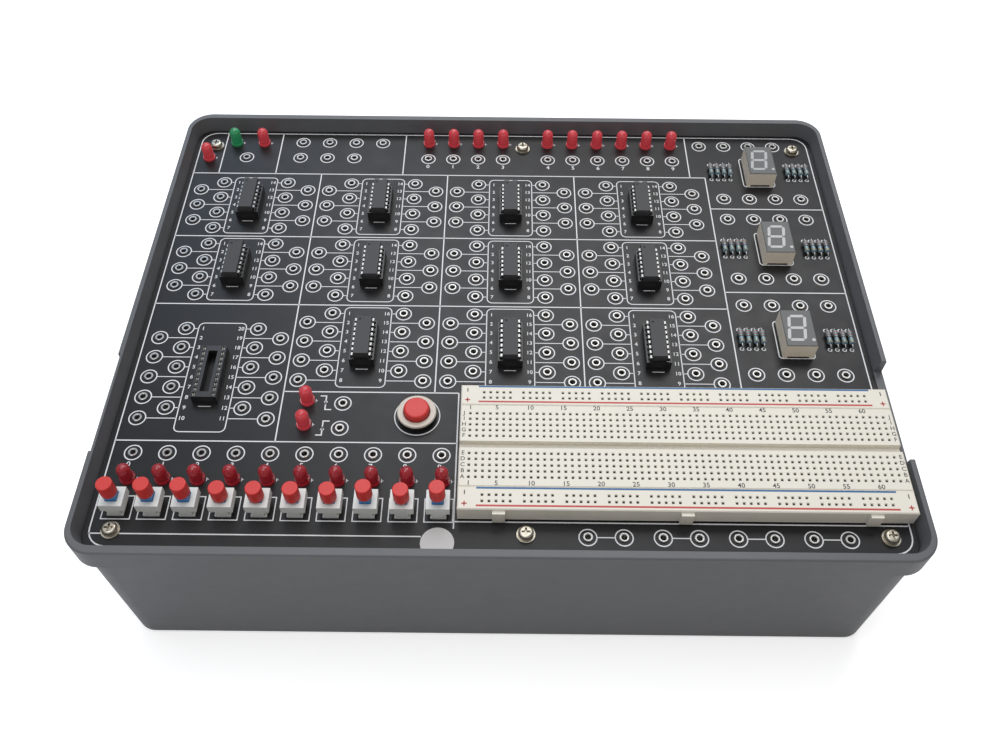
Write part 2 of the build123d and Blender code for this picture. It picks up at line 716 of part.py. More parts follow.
def chip_body(pins):
    """A moulded chip with drafted flanks and a half-round mark at its first pin's end."""
    length = CHIP_LENGTHS[pins]
    drafted = (CHIP_THICKNESS - LEAD_FRAME_BAND) / 2
    with BuildPart() as chip:
        with BuildSketch(Plane.XY.offset(CHIP_MIDDLE - LEAD_FRAME_BAND / 2)):
            Rectangle(CHIP_WIDTH, length)
        extrude(amount=LEAD_FRAME_BAND)
        extrude(chip.faces().sort_by(Axis.Z)[-1], amount=drafted, taper=CHIP_FLANK_ANGLE)
        extrude(chip.faces().sort_by(Axis.Z)[0], amount=drafted, taper=CHIP_FLANK_ANGLE)
        with BuildSketch(Plane.XY.offset(CHIP_BOTTOM + CHIP_THICKNESS)):
            with Locations((0, length / 2)):
                Circle(CHIP_NOTCH_RADIUS)
        extrude(amount=-CHIP_NOTCH_DEPTH, mode=Mode.SUBTRACT)
    return chip.part


with BuildPart() as chip_pin_unit:
    # the right-hand pin: out of the chip's flank, then down into the socket
    with BuildSketch(Plane.XZ.offset(-CHIP_PIN_SHOULDER / 2)):
        with BuildLine():
            inner = CHIP_WIDTH / 2
            outer = ROW_SPACING / 2 + CHIP_PIN_THICKNESS / 2
            top = CHIP_MIDDLE + CHIP_PIN_THICKNESS / 2
            foot = DIP_HEIGHT + CHIP_STANDOFF / 2
            Polyline(
                (inner, top),
                (outer, top),
                (outer, foot),
                (outer - CHIP_PIN_THICKNESS, foot),
                (outer - CHIP_PIN_THICKNESS, top - CHIP_PIN_THICKNESS),
                (inner, top - CHIP_PIN_THICKNESS),
                close=True,
            )
        make_face()
    extrude(amount=CHIP_PIN_SHOULDER)
    with BuildSketch(Plane.XY.offset(foot)):
        with Locations((ROW_SPACING / 2, 0)):
            Rectangle(CHIP_PIN_THICKNESS, CHIP_PIN_BLADE)
    extrude(amount=-(CHIP_PIN_REACH + CHIP_STANDOFF / 2))

socket_solids = []
chip_solids = []
chip_pin_solids = []
socket_shapes = {pins: dip_socket(pins) for pins in (7, 8, 10)}
chip_shapes = {pins: chip_body(pins) for pins in CHIP_LENGTHS}
for place in chip_places():
    pins = place[2]
    centre = Pos(*socket_centre(place), 0)
    socket_solids.append(board_plane.location * centre * socket_shapes[pins])
    if pins in CHIP_LENGTHS:
        chip_solids.append(board_plane.location * centre * chip_shapes[pins])
        for row in range(pins):
            step = Pos(0, (row - (pins - 1) / 2) * PIN_PITCH, 0)
            for turn in (0, 180):
                pin = Rot(0, 0, turn) * chip_pin_unit.part
                chip_pin_solids.append(board_plane.location * centre * step * pin)

write_group(Compound(children=socket_solids), "dip_sockets")
write_group(Compound(children=chip_solids), "chip_bodies")
write_group(Compound(children=chip_pin_solids), "chip_pins")

# ---------------------------------------------------------------- lamps

with BuildPart() as lamp_unit:
    with BuildSketch(Plane.XZ):
        with BuildLine():
            shoulder = LAMP_HEIGHT - LAMP_RADIUS
            Polyline(
                (0, LAMP_HEIGHT),
                (0, 0),
                (LAMP_FLANGE_RADIUS, 0),
                (LAMP_FLANGE_RADIUS, LAMP_FLANGE_HEIGHT),
                (LAMP_RADIUS, LAMP_FLANGE_HEIGHT),
                (LAMP_RADIUS, shoulder),
            )
            RadiusArc((LAMP_RADIUS, shoulder), (0, LAMP_HEIGHT), -LAMP_RADIUS)
        make_face()
    revolve(axis=Axis.Z)
    # flat that marks one lead
    with BuildSketch(Plane.XY):
        with Locations((LAMP_FLANGE_RADIUS, 0)):
            Rectangle(LAMP_FLANGE_RADIUS - LAMP_RADIUS, 2 * LAMP_RADIUS)
    extrude(amount=LAMP_FLANGE_HEIGHT, mode=Mode.SUBTRACT)

write_group(place_copies(lamp_unit.part, board_plane, red_lamp_points()), "red_leds")
write_group(place_copies(lamp_unit.part, board_plane, [PROBE_GREEN_LAMP]), "green_led")

# ---------------------------------------------------------------- digit displays


def slanted(points):
    """Lean a digit's points over to the right."""
    lean = sin(radians(DIGIT_SLANT)) / cos(radians(DIGIT_SLANT))
    return [(DIGIT_SHIFT + x + y * lean, y) for x, y in points]


def level_segment(y, grow):
    """A level stroke of the digit with pointed ends."""
    half = SEGMENT_STROKE / 2 + grow
    reach = DIGIT_HALF_WIDTH - SEGMENT_GAP + grow
    return slanted([(-reach, y), (half - reach, y + half), (reach - half, y + half),
                    (reach, y), (reach - half, y - half), (half - reach, y - half)])


def upright_segment(x, side, grow):
    """An upright stroke above (1) or below (-1) the digit's middle."""
    half = SEGMENT_STROKE / 2 + grow
    low = SEGMENT_GAP - grow
    high = DIGIT_HALF_HEIGHT - SEGMENT_GAP + grow
    outline = [(x, low), (x + half, low + half), (x + half, high - half),
               (x, high), (x - half, high - half), (x - half, low + half)]
    return slanted([(px, side * py) for px, py in outline])


def segment_outlines(grow):
    """The seven strokes, grown all round by the fit of their pockets."""
    outlines = [level_segment(y, grow) for y in (-DIGIT_HALF_HEIGHT, 0, DIGIT_HALF_HEIGHT)]
    for x in (-DIGIT_HALF_WIDTH, DIGIT_HALF_WIDTH):
        outlines += [upright_segment(x, side, grow) for side in (-1, 1)]
    return outlines


with BuildPart() as display_unit:
    with BuildSketch(Plane.XY):
        Rectangle(DISPLAY_WIDTH, DISPLAY_DEPTH)
    extrude(amount=DISPLAY_HEIGHT)
    chamfer(display_unit.edges().group_by(Axis.Z)[-1], DISPLAY_EDGE)
    with BuildSketch(Plane.XY):
        with Locations((0, -DISPLAY_DEPTH / 2)):
            Rectangle(DISPLAY_SLOT_WIDTH, 2 * DISPLAY_SLOT_DEPTH)
    extrude(amount=DISPLAY_SLOT_HEIGHT, mode=Mode.SUBTRACT)
    with BuildSketch(Plane.XY.offset(DISPLAY_HEIGHT)):
        for outline in segment_outlines(SEGMENT_FIT):
            Polygon(*outline, align=None)
        with Locations((POINT_X, -DIGIT_HALF_HEIGHT)):
            Circle(POINT_RADIUS + SEGMENT_FIT)
    extrude(amount=-SEGMENT_DEPTH, mode=Mode.SUBTRACT)

with BuildPart() as segments_unit:
    with BuildSketch(Plane.XY.offset(DISPLAY_HEIGHT)):
        for outline in segment_outlines(0):
            Polygon(*outline, align=None)
        with Locations((POINT_X, -DIGIT_HALF_HEIGHT)):
            Circle(POINT_RADIUS)
    extrude(amount=-SEGMENT_DEPTH)

display_places = [(DISPLAY_X, y) for y in DISPLAY_Y]
write_group(place_copies(display_unit.part, board_plane, display_places), "display_housings")
write_group(place_copies(segments_unit.part, board_plane, display_places), "display_segments")

# ---------------------------------------------------------------- resistors

with BuildPart() as resistor_unit:
    # a waisted body lying along Y
    with BuildSketch(Plane.XY):
        with BuildLine():
            half = RESISTOR_LENGTH / 2
            step = RESISTOR_RADIUS - RESISTOR_WAIST_RADIUS
            Polyline(
                (0, -half),
                (RESISTOR_WAIST_RADIUS, -half),
                (RESISTOR_RADIUS, step - half),
                (RESISTOR_RADIUS, RESISTOR_CAP - half),
                (RESISTOR_WAIST_RADIUS, RESISTOR_CAP + step - half),
                (RESISTOR_WAIST_RADIUS, half - RESISTOR_CAP - step),
                (RESISTOR_RADIUS, half - RESISTOR_CAP),
                (RESISTOR_RADIUS, half - step),
                (RESISTOR_WAIST_RADIUS, half),
                (0, half),
                close=True,
            )
        make_face()
    revolve(axis=Axis.Y)

with BuildPart() as resistor_lead_unit:
    with BuildLine() as resistor_lead_path:
        FilletPolyline(
            (0, RESISTOR_LENGTH / 2, 0),
            (0, RESISTOR_SPAN / 2, 0),
            (0, RESISTOR_SPAN / 2, -RESISTOR_LIFT),
            radius=RESISTOR_BEND,
        )
    with BuildSketch(Plane((0, RESISTOR_LENGTH / 2, 0), z_dir=(0, 1, 0))):
        Circle(RESISTOR_WIRE_RADIUS)
    sweep()

lifted_plane = on_board(RESISTOR_LIFT)
resistor_lead_solids = []
for x, y in resistor_points():
    for turn in (0, 180):
        lead = Rot(0, 0, turn) * resistor_lead_unit.part
        resistor_lead_solids.append(lifted_plane.location * Pos(x, y, 0) * lead)
write_group(place_copies(resistor_unit.part, lifted_plane, resistor_points()), "resistor_bodies")
write_group(Compound(children=resistor_lead_solids), "resistor_leads")

# ---------------------------------------------------------------- breadboard

PAD_PLANE = on_board(0)
STRIP_PLANE = on_board(PAD_THICKNESS)
STRIP_TOP = on_board(PAD_THICKNESS + BREADBOARD_HEIGHT)
RAIL_OFFSET = (CENTRE_BLOCK_DEPTH + RAIL_DEPTH) / 2
SLOT_DEPTH = BREADBOARD_HEIGHT - TOP_SKIN
column_x = [BREADBOARD_X + (k - (STRIP_COLUMNS - 1) / 2) * PIN_PITCH for k in range(STRIP_COLUMNS)]
strip_middle = STRIP_HALF_GAP + (STRIP_ROWS - 1) * PIN_PITCH / 2
strip_span = (STRIP_ROWS - 1) * PIN_PITCH + 2 * CLIP_SLOT_MARGIN
strip_pocket = (STRIP_COLUMNS - 1) * PIN_PITCH + CLIP_SLOT_WIDTH
strip_clips = [(x, BREADBOARD_Y + side * strip_middle) for x in column_x for side in (-1, 1)]
strip_pockets = [(BREADBOARD_X, BREADBOARD_Y + side * strip_middle) for side in (-1, 1)]
rail_group_pitch = (RAIL_GROUP_HOLES + 1) * PIN_PITCH
rail_reach = (RAIL_GROUPS - 1) * rail_group_pitch + (RAIL_GROUP_HOLES - 1) * PIN_PITCH
rail_span = rail_reach + 2 * CLIP_SLOT_MARGIN
lug_x = [BREADBOARD_X + (k - 1) * LUG_STEP for k in range(3)]


def strip_block(middle_y, depth, pockets, pocket_length, pocket_depth):
    """A breadboard block: pockets for clips, lugs in front and matching slots in the rear."""
    with BuildPart() as block:
        with BuildSketch(STRIP_PLANE):
            with Locations((BREADBOARD_X, middle_y)):
                Rectangle(BREADBOARD_LENGTH, depth)
        extrude(amount=BREADBOARD_HEIGHT)
        chamfer(block.edges().group_by(Axis.Z)[-1], BREADBOARD_EDGE)
        with BuildSketch(STRIP_PLANE):
            with Locations(*[(x, middle_y - depth / 2 - LUG_REACH / 2) for x in lug_x]):
                Rectangle(LUG_WIDTH, LUG_REACH)
        extrude(amount=LUG_HEIGHT)
        with BuildSketch(STRIP_PLANE):
            with Locations(*[(x, middle_y + depth / 2) for x in lug_x]):
                Rectangle(LUG_WIDTH + 2 * LUG_CLEARANCE, 2 * (LUG_REACH + LUG_CLEARANCE))
        extrude(amount=LUG_HEIGHT + LUG_CLEARANCE, mode=Mode.SUBTRACT)
        with BuildSketch(STRIP_PLANE):
            with Locations(*pockets):
                Rectangle(pocket_length, pocket_depth)
        extrude(amount=SLOT_DEPTH, mode=Mode.SUBTRACT)
    return block


centre_block = strip_block(
    BREADBOARD_Y, CENTRE_BLOCK_DEPTH, strip_pockets, strip_pocket, strip_span
)
with BuildPart() as breadboard_body:
    add(centre_block.part)
    with BuildSketch(STRIP_TOP):
        with Locations((BREADBOARD_X, BREADBOARD_Y)):
            Rectangle(BREADBOARD_LENGTH, GROOVE_WIDTH)
    extrude(amount=-GROOVE_DEPTH, mode=Mode.SUBTRACT)
breadboard_body.part.label = "breadboard_body"
export_step(breadboard_body.part, "parts/breadboard_body.step")

rail_rows = []
for side, name in ((1, "breadboard_back_rail"), (-1, "breadboard_front_rail")):
    middle_y = BREADBOARD_Y + side * RAIL_OFFSET
    rows = [middle_y - PIN_PITCH / 2, middle_y + PIN_PITCH / 2]
    rail_rows += rows
    pockets = [(BREADBOARD_X, y) for y in rows]
    rail = strip_block(middle_y, RAIL_DEPTH, pockets, rail_span, CLIP_SLOT_WIDTH)
    write_group(rail.part, name)


def spring_clip(length):
    """A folded spring clip: a floor and two walls along Y."""
    with BuildPart() as clip:
        with BuildSketch(Plane.XY):
            Rectangle(CLIP_WIDTH, length)
        extrude(amount=CLIP_HEIGHT)
        with BuildSketch(Plane.XY.offset(CLIP_THICKNESS)):
            Rectangle(CLIP_WIDTH - 2 * CLIP_THICKNESS, length)
        extrude(amount=CLIP_HEIGHT, mode=Mode.SUBTRACT)
    return clip.part


column_clip = spring_clip(strip_span - 2 * CLIP_END_GAP)
rail_clip = Rot(0, 0, 90) * spring_clip(rail_span - 2 * CLIP_END_GAP)
clip_solids = [STRIP_PLANE.location * Pos(x, y, 0) * column_clip for x, y in strip_clips]
clip_solids += [STRIP_PLANE.location * Pos(BREADBOARD_X, y, 0) * rail_clip for y in rail_rows]
write_group(Compound(children=clip_solids), "breadboard_clips")

with BuildPart() as breadboard_pad:
    with BuildSketch(PAD_PLANE):
        with Locations((BREADBOARD_X, BREADBOARD_Y)):
            Rectangle(BREADBOARD_LENGTH - 2 * PAD_MARGIN, BREADBOARD_DEPTH - 2 * PAD_MARGIN)
    extrude(amount=PAD_THICKNESS)
breadboard_pad.part.label = "breadboard_pad"
export_step(breadboard_pad.part, "parts/breadboard_pad.step")

# ---------------------------------------------------------------- input switches

WAIST_TOP = SWITCH_TOP - SWITCH_BLOCK_HEIGHT
STEM_FOOT = SWITCH_TOP - STEM_IN_BODY
TONGUE_HOLE_BOTTOM = SWITCH_FOOT_HEIGHT * 0.6

with BuildPart() as switch_unit:
    with BuildSketch(Plane.XZ.offset(-SWITCH_DEPTH / 2)):
        with BuildLine():
            foot_half = SWITCH_FOOT_WIDTH / 2
            waist_half = SWITCH_WAIST_WIDTH / 2
            block_half = SWITCH_WIDTH / 2
            Polyline(
                (-foot_half, 0),
                (foot_half, 0),
                (foot_half, SWITCH_FOOT_HEIGHT),
                (waist_half, SWITCH_FOOT_HEIGHT),
                (waist_half, WAIST_TOP),
                (block_half, WAIST_TOP),
                (block_half, SWITCH_TOP),
                (-block_half, SWITCH_TOP),
                (-block_half, WAIST_TOP),
                (-waist_half, WAIST_TOP),
                (-waist_half, SWITCH_FOOT_HEIGHT),
                (-foot_half, SWITCH_FOOT_HEIGHT),
                close=True,
            )
        make_face()
    extrude(amount=SWITCH_DEPTH)
    with BuildSketch(Plane.XY.offset(SWITCH_TOP)):
        Rectangle(STEM_WIDTH + 2 * STEM_CLEARANCE, STEM_WIDTH + 2 * STEM_CLEARANCE)
    extrude(amount=-SWITCH_BLOCK_HEIGHT, mode=Mode.SUBTRACT)
    with BuildSketch(Plane.XY.offset(WAIST_TOP)):
        Rectangle(STEM_TONGUE_WIDTH + 2 * STEM_CLEARANCE, STEM_TONGUE_WIDTH + 2 * STEM_CLEARANCE)
    extrude(amount=TONGUE_HOLE_BOTTOM - WAIST_TOP, mode=Mode.SUBTRACT)

with BuildPart() as stem_unit:
    with BuildSketch(Plane.XY.offset(STEM_FOOT)):
        Rectangle(STEM_WIDTH, STEM_WIDTH)
    extrude(amount=CAP_BOTTOM + STEM_IN_CAP - STEM_FOOT)
    with BuildSketch(Plane.XY.offset(STEM_FOOT)):
        Rectangle(STEM_TONGUE_WIDTH, STEM_TONGUE_WIDTH)
    extrude(amount=-STEM_TONGUE_LENGTH)

with BuildPart() as cap_unit:
    with BuildSketch(Plane.XY.offset(CAP_BOTTOM)):
        Circle(CAP_RADIUS)
    extrude(amount=CAP_HEIGHT)
    fillet(cap_unit.edges().group_by(Axis.Z)[-1], RIM_EDGE / 2)
    with BuildSketch(Plane.XY.offset(CAP_BOTTOM)):
        Rectangle(STEM_WIDTH + 2 * CAP_FIT, STEM_WIDTH + 2 * CAP_FIT)
    extrude(amount=STEM_IN_CAP, mode=Mode.SUBTRACT)

write_group(place_copies(switch_unit.part, board_plane, switch_points()), "switch_bodies")
for index, point in enumerate(switch_points()):
    drop = LATCH_DROP if index in LATCHED_INPUTS else 0
    number = str(index + 1)
    write_group(place_copies(stem_unit.part, on_board(-drop), [point]), "switch_stem_" + number)
    write_group(place_copies(cap_unit.part, on_board(-drop), [point]), "switch_cap_" + number)

# ---------------------------------------------------------------- pulser

PULSER_BORE_RADIUS = PULSER_BUTTON_RADIUS + PULSER_BUTTON_GAP
PULSER_BUTTON_BOTTOM = PULSER_BUTTON_TOP - PULSER_BUTTON_LENGTH
PULSER_BORE_BOTTOM = PULSER_BUTTON_BOTTOM - PULSER_TRAVEL - PULSER_BOTTOM_GAP
pulser_place = (PULSER_X, PULSER_Y)

with BuildPart() as pulser_body:
    # threaded neck through the board, flange and body under it
    with BuildSketch(on_board(PULSER_RING_HEIGHT)):
        with Locations(pulser_place):
            Circle(PULSER_THREAD_RADIUS)
    extrude(amount=-(PULSER_RING_HEIGHT + BOARD_THICKNESS + PULSER_FLANGE_HEIGHT))
    with BuildSketch(on_board(-BOARD_THICKNESS)):
        with Locations(pulser_place):
            Circle(PULSER_FLANGE_RADIUS)
    extrude(amount=-PULSER_FLANGE_HEIGHT)
    with BuildSketch(on_board(-BOARD_THICKNESS - PULSER_FLANGE_HEIGHT)):
        with Locations(pulser_place):
            Circle(PULSER_RING_RADIUS)
    extrude(amount=-PULSER_BODY_LENGTH)
    with BuildSketch(on_board(PULSER_RING_HEIGHT)):
        with Locations(pulser_place):
            Circle(PULSER_BORE_RADIUS)
    extrude(amount=PULSER_BORE_BOTTOM - PULSER_RING_HEIGHT, mode=Mode.SUBTRACT)
pulser_body.part.label = "pulser_body"
export_step(pulser_body.part, "parts/pulser_body.step")

with BuildPart() as pulser_ring:
    with BuildSketch(board_plane):
        with Locations(pulser_place):
            Circle(PULSER_RING_RADIUS)
            Circle(PULSER_THREAD_RADIUS + RING_FIT, mode=Mode.SUBTRACT)
    extrude(amount=PULSER_RING_HEIGHT)
pulser_ring.part.label = "pulser_ring"
export_step(pulser_ring.part, "parts/pulser_ring.step")

with BuildPart() as pulser_bezel:
    with BuildSketch(on_board(PULSER_RING_HEIGHT)):
        with Locations(pulser_place):
            Circle(PULSER_BEZEL_RADIUS)
            Circle(PULSER_BORE_RADIUS, mode=Mode.SUBTRACT)
    extrude(amount=PULSER_BEZEL_HEIGHT)
    chamfer(pulser_bezel.edges().group_by(Axis.Z)[-1], PULSER_BEZEL_HEIGHT / 3)
pulser_bezel.part.label = "pulser_bezel"
export_step(pulser_bezel.part, "parts/pulser_bezel.step")

with BuildPart() as pulser_button:
    with BuildSketch(on_board(PULSER_BUTTON_BOTTOM)):
        with Locations(pulser_place):
            Circle(PULSER_BUTTON_RADIUS)
    extrude(amount=PULSER_BUTTON_LENGTH)
    fillet(pulser_button.edges().group_by(Axis.Z)[-1], PULSER_BUTTON_EDGE)
pulser_button.part.label = "pulser_button"
export_step(pulser_button.part, "parts/pulser_button.step")

# ---------------------------------------------------------------- sticker

with BuildPart() as paper_sticker:
    # a round sticker trimmed at the board's front edge
    with BuildSketch(board_plane):
        with Locations((STICKER_X, STICKER_Y)):
            Circle(STICKER_RADIUS)
        with Locations((STICKER_X, 0)):
            Rectangle(4 * STICKER_RADIUS, BOARD_DEPTH - 2 * BOARD_GAP, mode=Mode.INTERSECT)
    extrude(amount=STICKER_THICKNESS)
paper_sticker.part.label = "paper_sticker"
export_step(paper_sticker.part, "parts/paper_sticker.step")

# ---------------------------------------------------------------- mains inlet

seat_plane = Plane.XZ.offset(-REAR_SEAT)      # outer face of the rear wall, seen from behind it
INLET_MOUTH = seat_plane.offset(-INLET_BEZEL)
inlet_place = (INLET_X, INLET_Z)


def inside_seat(depth):
    """The plane parallel to the rear wall, this far inside its outer face."""
    return seat_plane.offset(depth)


blade_places = [
    (INLET_X - BLADE_SPACING / 2, INLET_Z - BLADE_RISE / 2),
    (INLET_X, INLET_Z + BLADE_RISE / 2),
    (INLET_X + BLADE_SPACING / 2, INLET_Z - BLADE_RISE / 2),
]

with BuildPart() as mains_inlet:
    with BuildSketch(seat_plane):
        with Locations(inlet_place):
            Rectangle(INLET_WIDTH, INLET_HEIGHT)
    extrude(amount=INLET_DEPTH)
    with BuildSketch(seat_plane):
        with Locations(inlet_place):
            RectangleRounded(
                INLET_WIDTH + 2 * INLET_BEZEL_MARGIN,
                INLET_HEIGHT + 2 * INLET_BEZEL_MARGIN,
                INLET_BEZEL_MARGIN,
            )
    extrude(amount=-INLET_BEZEL)
    # cavity with its two upper corners cut off
    with BuildSketch(INLET_MOUTH) as mouth_sketch:
        with Locations(inlet_place):
            Rectangle(INLET_CAVITY_WIDTH, INLET_CAVITY_HEIGHT)
        upper = mouth_sketch.vertices().group_by(Axis.Z)[-1]
        chamfer(upper, INLET_CORNER)
    extrude(amount=INLET_CAVITY_DEPTH, mode=Mode.SUBTRACT)
    # holes for the blades
    with BuildSketch(seat_plane):
        with Locations(*blade_places):
            Rectangle(BLADE_THICKNESS + 2 * BLADE_FIT, BLADE_WIDTH + 2 * BLADE_FIT)
    extrude(amount=INLET_DEPTH, mode=Mode.SUBTRACT)
    # snap wedges behind the wall
    with BuildSketch(Plane.XY.offset(INLET_Z - SNAP_WIDTH / 2)):
        for side in (-1, 1):
            edge = INLET_X + side * INLET_WIDTH / 2
            Polygon(
                (edge, REAR_SEAT - WALL - SNAP_LENGTH - 2 * INLET_FIT),
                (edge + side * SNAP_HEIGHT, REAR_SEAT - WALL - 2 * INLET_FIT),
                (edge, REAR_SEAT - WALL - 2 * INLET_FIT),
                align=None,
            )
    extrude(amount=SNAP_WIDTH)
mains_inlet.part.label = "mains_inlet"
export_step(mains_inlet.part, "parts/mains_inlet.step")

with BuildPart() as inlet_blades:
    with BuildSketch(inside_seat(BLADE_RECESS - INLET_BEZEL)):
        with Locations(*blade_places):
            Rectangle(BLADE_THICKNESS, BLADE_WIDTH)
    extrude(amount=INLET_DEPTH + BLADE_TAB - BLADE_RECESS + INLET_BEZEL)
inlet_blades.part.label = "inlet_blades"
export_step(inlet_blades.part, "parts/inlet_blades.step")

# ---------------------------------------------------------------- rocker power switch

ROCKER_CAVITY_WIDTH = ROCKER_FRAME_WIDTH - 2 * ROCKER_WALL
ROCKER_CAVITY_HEIGHT = ROCKER_FRAME_HEIGHT - 2 * ROCKER_WALL
ROCKER_SWING = ROCKER_CAVITY_HEIGHT / 2 - ROCKER_GAP
rocker_place = (ROCKER_X, ROCKER_Z)

with BuildPart() as rocker_frame:
    with BuildSketch(seat_plane):
        with Locations(rocker_place):
            Rectangle(ROCKER_FRAME_WIDTH, ROCKER_FRAME_HEIGHT)
    extrude(amount=ROCKER_BODY_DEPTH)
    with BuildSketch(seat_plane):
        with Locations(rocker_place):
            RectangleRounded(
                ROCKER_FRAME_WIDTH + 2 * ROCKER_BEZEL_MARGIN,
                ROCKER_FRAME_HEIGHT + 2 * ROCKER_BEZEL_MARGIN,
                ROCKER_BEZEL_MARGIN,
            )
    extrude(amount=-ROCKER_BEZEL)
    with BuildSketch(seat_plane.offset(-ROCKER_BEZEL)):
        with Locations(rocker_place):
            Rectangle(ROCKER_CAVITY_WIDTH, ROCKER_CAVITY_HEIGHT)
    extrude(amount=ROCKER_BEZEL + ROCKER_BODY_DEPTH - ROCKER_WALL, mode=Mode.SUBTRACT)
    # holes for the hinge pin
    with BuildSketch(Plane.YZ.offset(ROCKER_X - ROCKER_FRAME_WIDTH / 2)):
        with Locations((REAR_SEAT, ROCKER_Z)):
            Circle(ROCKER_PIN_RADIUS + ROCKER_PIN_FIT)
    extrude(amount=ROCKER_FRAME_WIDTH, mode=Mode.SUBTRACT)
rocker_frame.part.label = "rocker_frame"
export_step(rocker_frame.part, "parts/rocker_frame.step")

# the rocker stands tipped, its upper end out
tip = radians(ROCKER_ANGLE)
tipped_plane = Plane((ROCKER_X, REAR_SEAT, ROCKER_Z), x_dir=(0, cos(tip), -sin(tip)), z_dir=(1, 0, 0))
PADDLE_WIDTH = ROCKER_CAVITY_WIDTH - 2 * ROCKER_GAP
PADDLE_TAIL = ROCKER_RIDGE - ROCKER_THICKNESS - ROCKER_DROOP

with BuildPart() as rocker_paddle:
    with BuildSketch(tipped_plane.offset(-PADDLE_WIDTH / 2)):
        with BuildLine():
            Polyline(
                (ROCKER_RIDGE, 0),
                (ROCKER_RIDGE - ROCKER_DROOP, ROCKER_SWING),
                (PADDLE_TAIL + ROCKER_WALL, ROCKER_SWING),
                (PADDLE_TAIL, ROCKER_SWING / 2),
                (PADDLE_TAIL, -ROCKER_SWING / 2),
                (PADDLE_TAIL + ROCKER_WALL, -ROCKER_SWING),
                (ROCKER_RIDGE - ROCKER_DROOP, -ROCKER_SWING),
                close=True,
            )
        make_face()
        Circle(ROCKER_SWING, mode=Mode.INTERSECT)
    extrude(amount=PADDLE_WIDTH)
    with BuildSketch(tipped_plane.offset(ROCKER_INLAY - ROCKER_FRAME_WIDTH / 2)):
        Circle(ROCKER_PIN_RADIUS)
    extrude(amount=ROCKER_FRAME_WIDTH - 2 * ROCKER_INLAY)
rocker_paddle.part.label = "rocker_paddle"
export_step(rocker_paddle.part, "parts/rocker_paddle.step")

with BuildPart() as solder_tabs:
    # two tabs under the pulser and two behind the rocker switch
    with BuildSketch(on_board(-BOARD_THICKNESS - PULSER_FLANGE_HEIGHT - PULSER_BODY_LENGTH)):
        with Locations(
            (PULSER_X - PULSER_TAB_SPACING / 2, PULSER_Y),
            (PULSER_X + PULSER_TAB_SPACING / 2, PULSER_Y),
        ):
            Rectangle(PULSER_TAB_THICKNESS, PULSER_TAB_WIDTH)
    extrude(amount=-PULSER_TAB_LENGTH)
    with BuildSketch(inside_seat(ROCKER_BODY_DEPTH)):
        with Locations(
            (ROCKER_X, ROCKER_Z - PULSER_TAB_SPACING / 2),
            (ROCKER_X, ROCKER_Z + PULSER_TAB_SPACING / 2),
        ):
            Rectangle(ROCKER_TAB_WIDTH, ROCKER_TAB_THICKNESS)
    extrude(amount=ROCKER_TAB_LENGTH)
solder_tabs.part.label = "solder_tabs"
export_step(solder_tabs.part, "parts/solder_tabs.step")

# ---------------------------------------------------------------- transformer

CORE_TOP = PAD_TOP + CORE_HEIGHT
WINDOW_WIDTH = (CORE_WIDTH - 4 * CORE_LIMB) / 2
COIL_HOLE = 2 * CORE_LIMB + 2 * COIL_GAP
core_front = Plane.XZ.offset(-(TRAY_Y + CORE_Y + CORE_STACK / 2))

with BuildPart() as transformer_core:
    with BuildSketch(core_front):
        with Locations((CORE_X, PAD_TOP + CORE_HEIGHT / 2)):
            Rectangle(CORE_WIDTH, CORE_HEIGHT)
        with Locations(
            (CORE_X - CORE_LIMB - WINDOW_WIDTH / 2, PAD_TOP + CORE_HEIGHT / 2),
            (CORE_X + CORE_LIMB + WINDOW_WIDTH / 2, PAD_TOP + CORE_HEIGHT / 2),
        ):
            Rectangle(WINDOW_WIDTH, CORE_HEIGHT - 2 * CORE_LIMB, mode=Mode.SUBTRACT)
    extrude(amount=CORE_STACK)
transformer_core.part.label = "transformer_core"
export_step(transformer_core.part, "parts/transformer_core.step")

with BuildPart() as transformer_coil:
    with BuildSketch(table_plane.offset(PAD_TOP + CORE_LIMB + COIL_GAP)):
        with Locations((CORE_X, CORE_Y)):
            coil_depth = CORE_STACK + 2 * COIL_GAP
            RectangleRounded(COIL_HOLE + 2 * COIL_BUILD, coil_depth + 2 * COIL_BUILD, COIL_EDGE)
            Rectangle(COIL_HOLE, coil_depth, mode=Mode.SUBTRACT)
    extrude(amount=CORE_HEIGHT - 2 * CORE_LIMB - 2 * COIL_GAP)
transformer_coil.part.label = "transformer_coil"
export_step(transformer_coil.part, "parts/transformer_coil.step")

with BuildPart() as transformer_clamp:
    with BuildSketch(core_front):
        with Locations((CORE_X, CORE_TOP + CLAMP_THICKNESS / 2)):
            Rectangle(CORE_WIDTH + 2 * CLAMP_THICKNESS, CLAMP_THICKNESS)
        for side in (-1, 1):
            leg_x = CORE_X + side * (CORE_WIDTH + CLAMP_THICKNESS) / 2
            foot_x = CORE_X + side * (CORE_WIDTH / 2 + CLAMP_THICKNESS + CLAMP_FOOT / 2)
            with Locations((leg_x, PAD_TOP + CORE_HEIGHT / 2)):
                Rectangle(CLAMP_THICKNESS, CORE_HEIGHT)
            with Locations((foot_x, PAD_TOP + CLAMP_THICKNESS / 2)):
                Rectangle(CLAMP_FOOT, CLAMP_THICKNESS)
    extrude(amount=CORE_STACK)
    with BuildSketch(table_plane.offset(PAD_TOP)):
        with Locations(*clamp_screw_points()):
            Circle(SCREW_HOLE_RADIUS)
    extrude(amount=CLAMP_THICKNESS, mode=Mode.SUBTRACT)
transformer_clamp.part.label = "transformer_clamp"
export_step(transformer_clamp.part, "parts/transformer_clamp.step")

# ---------------------------------------------------------------- supply board

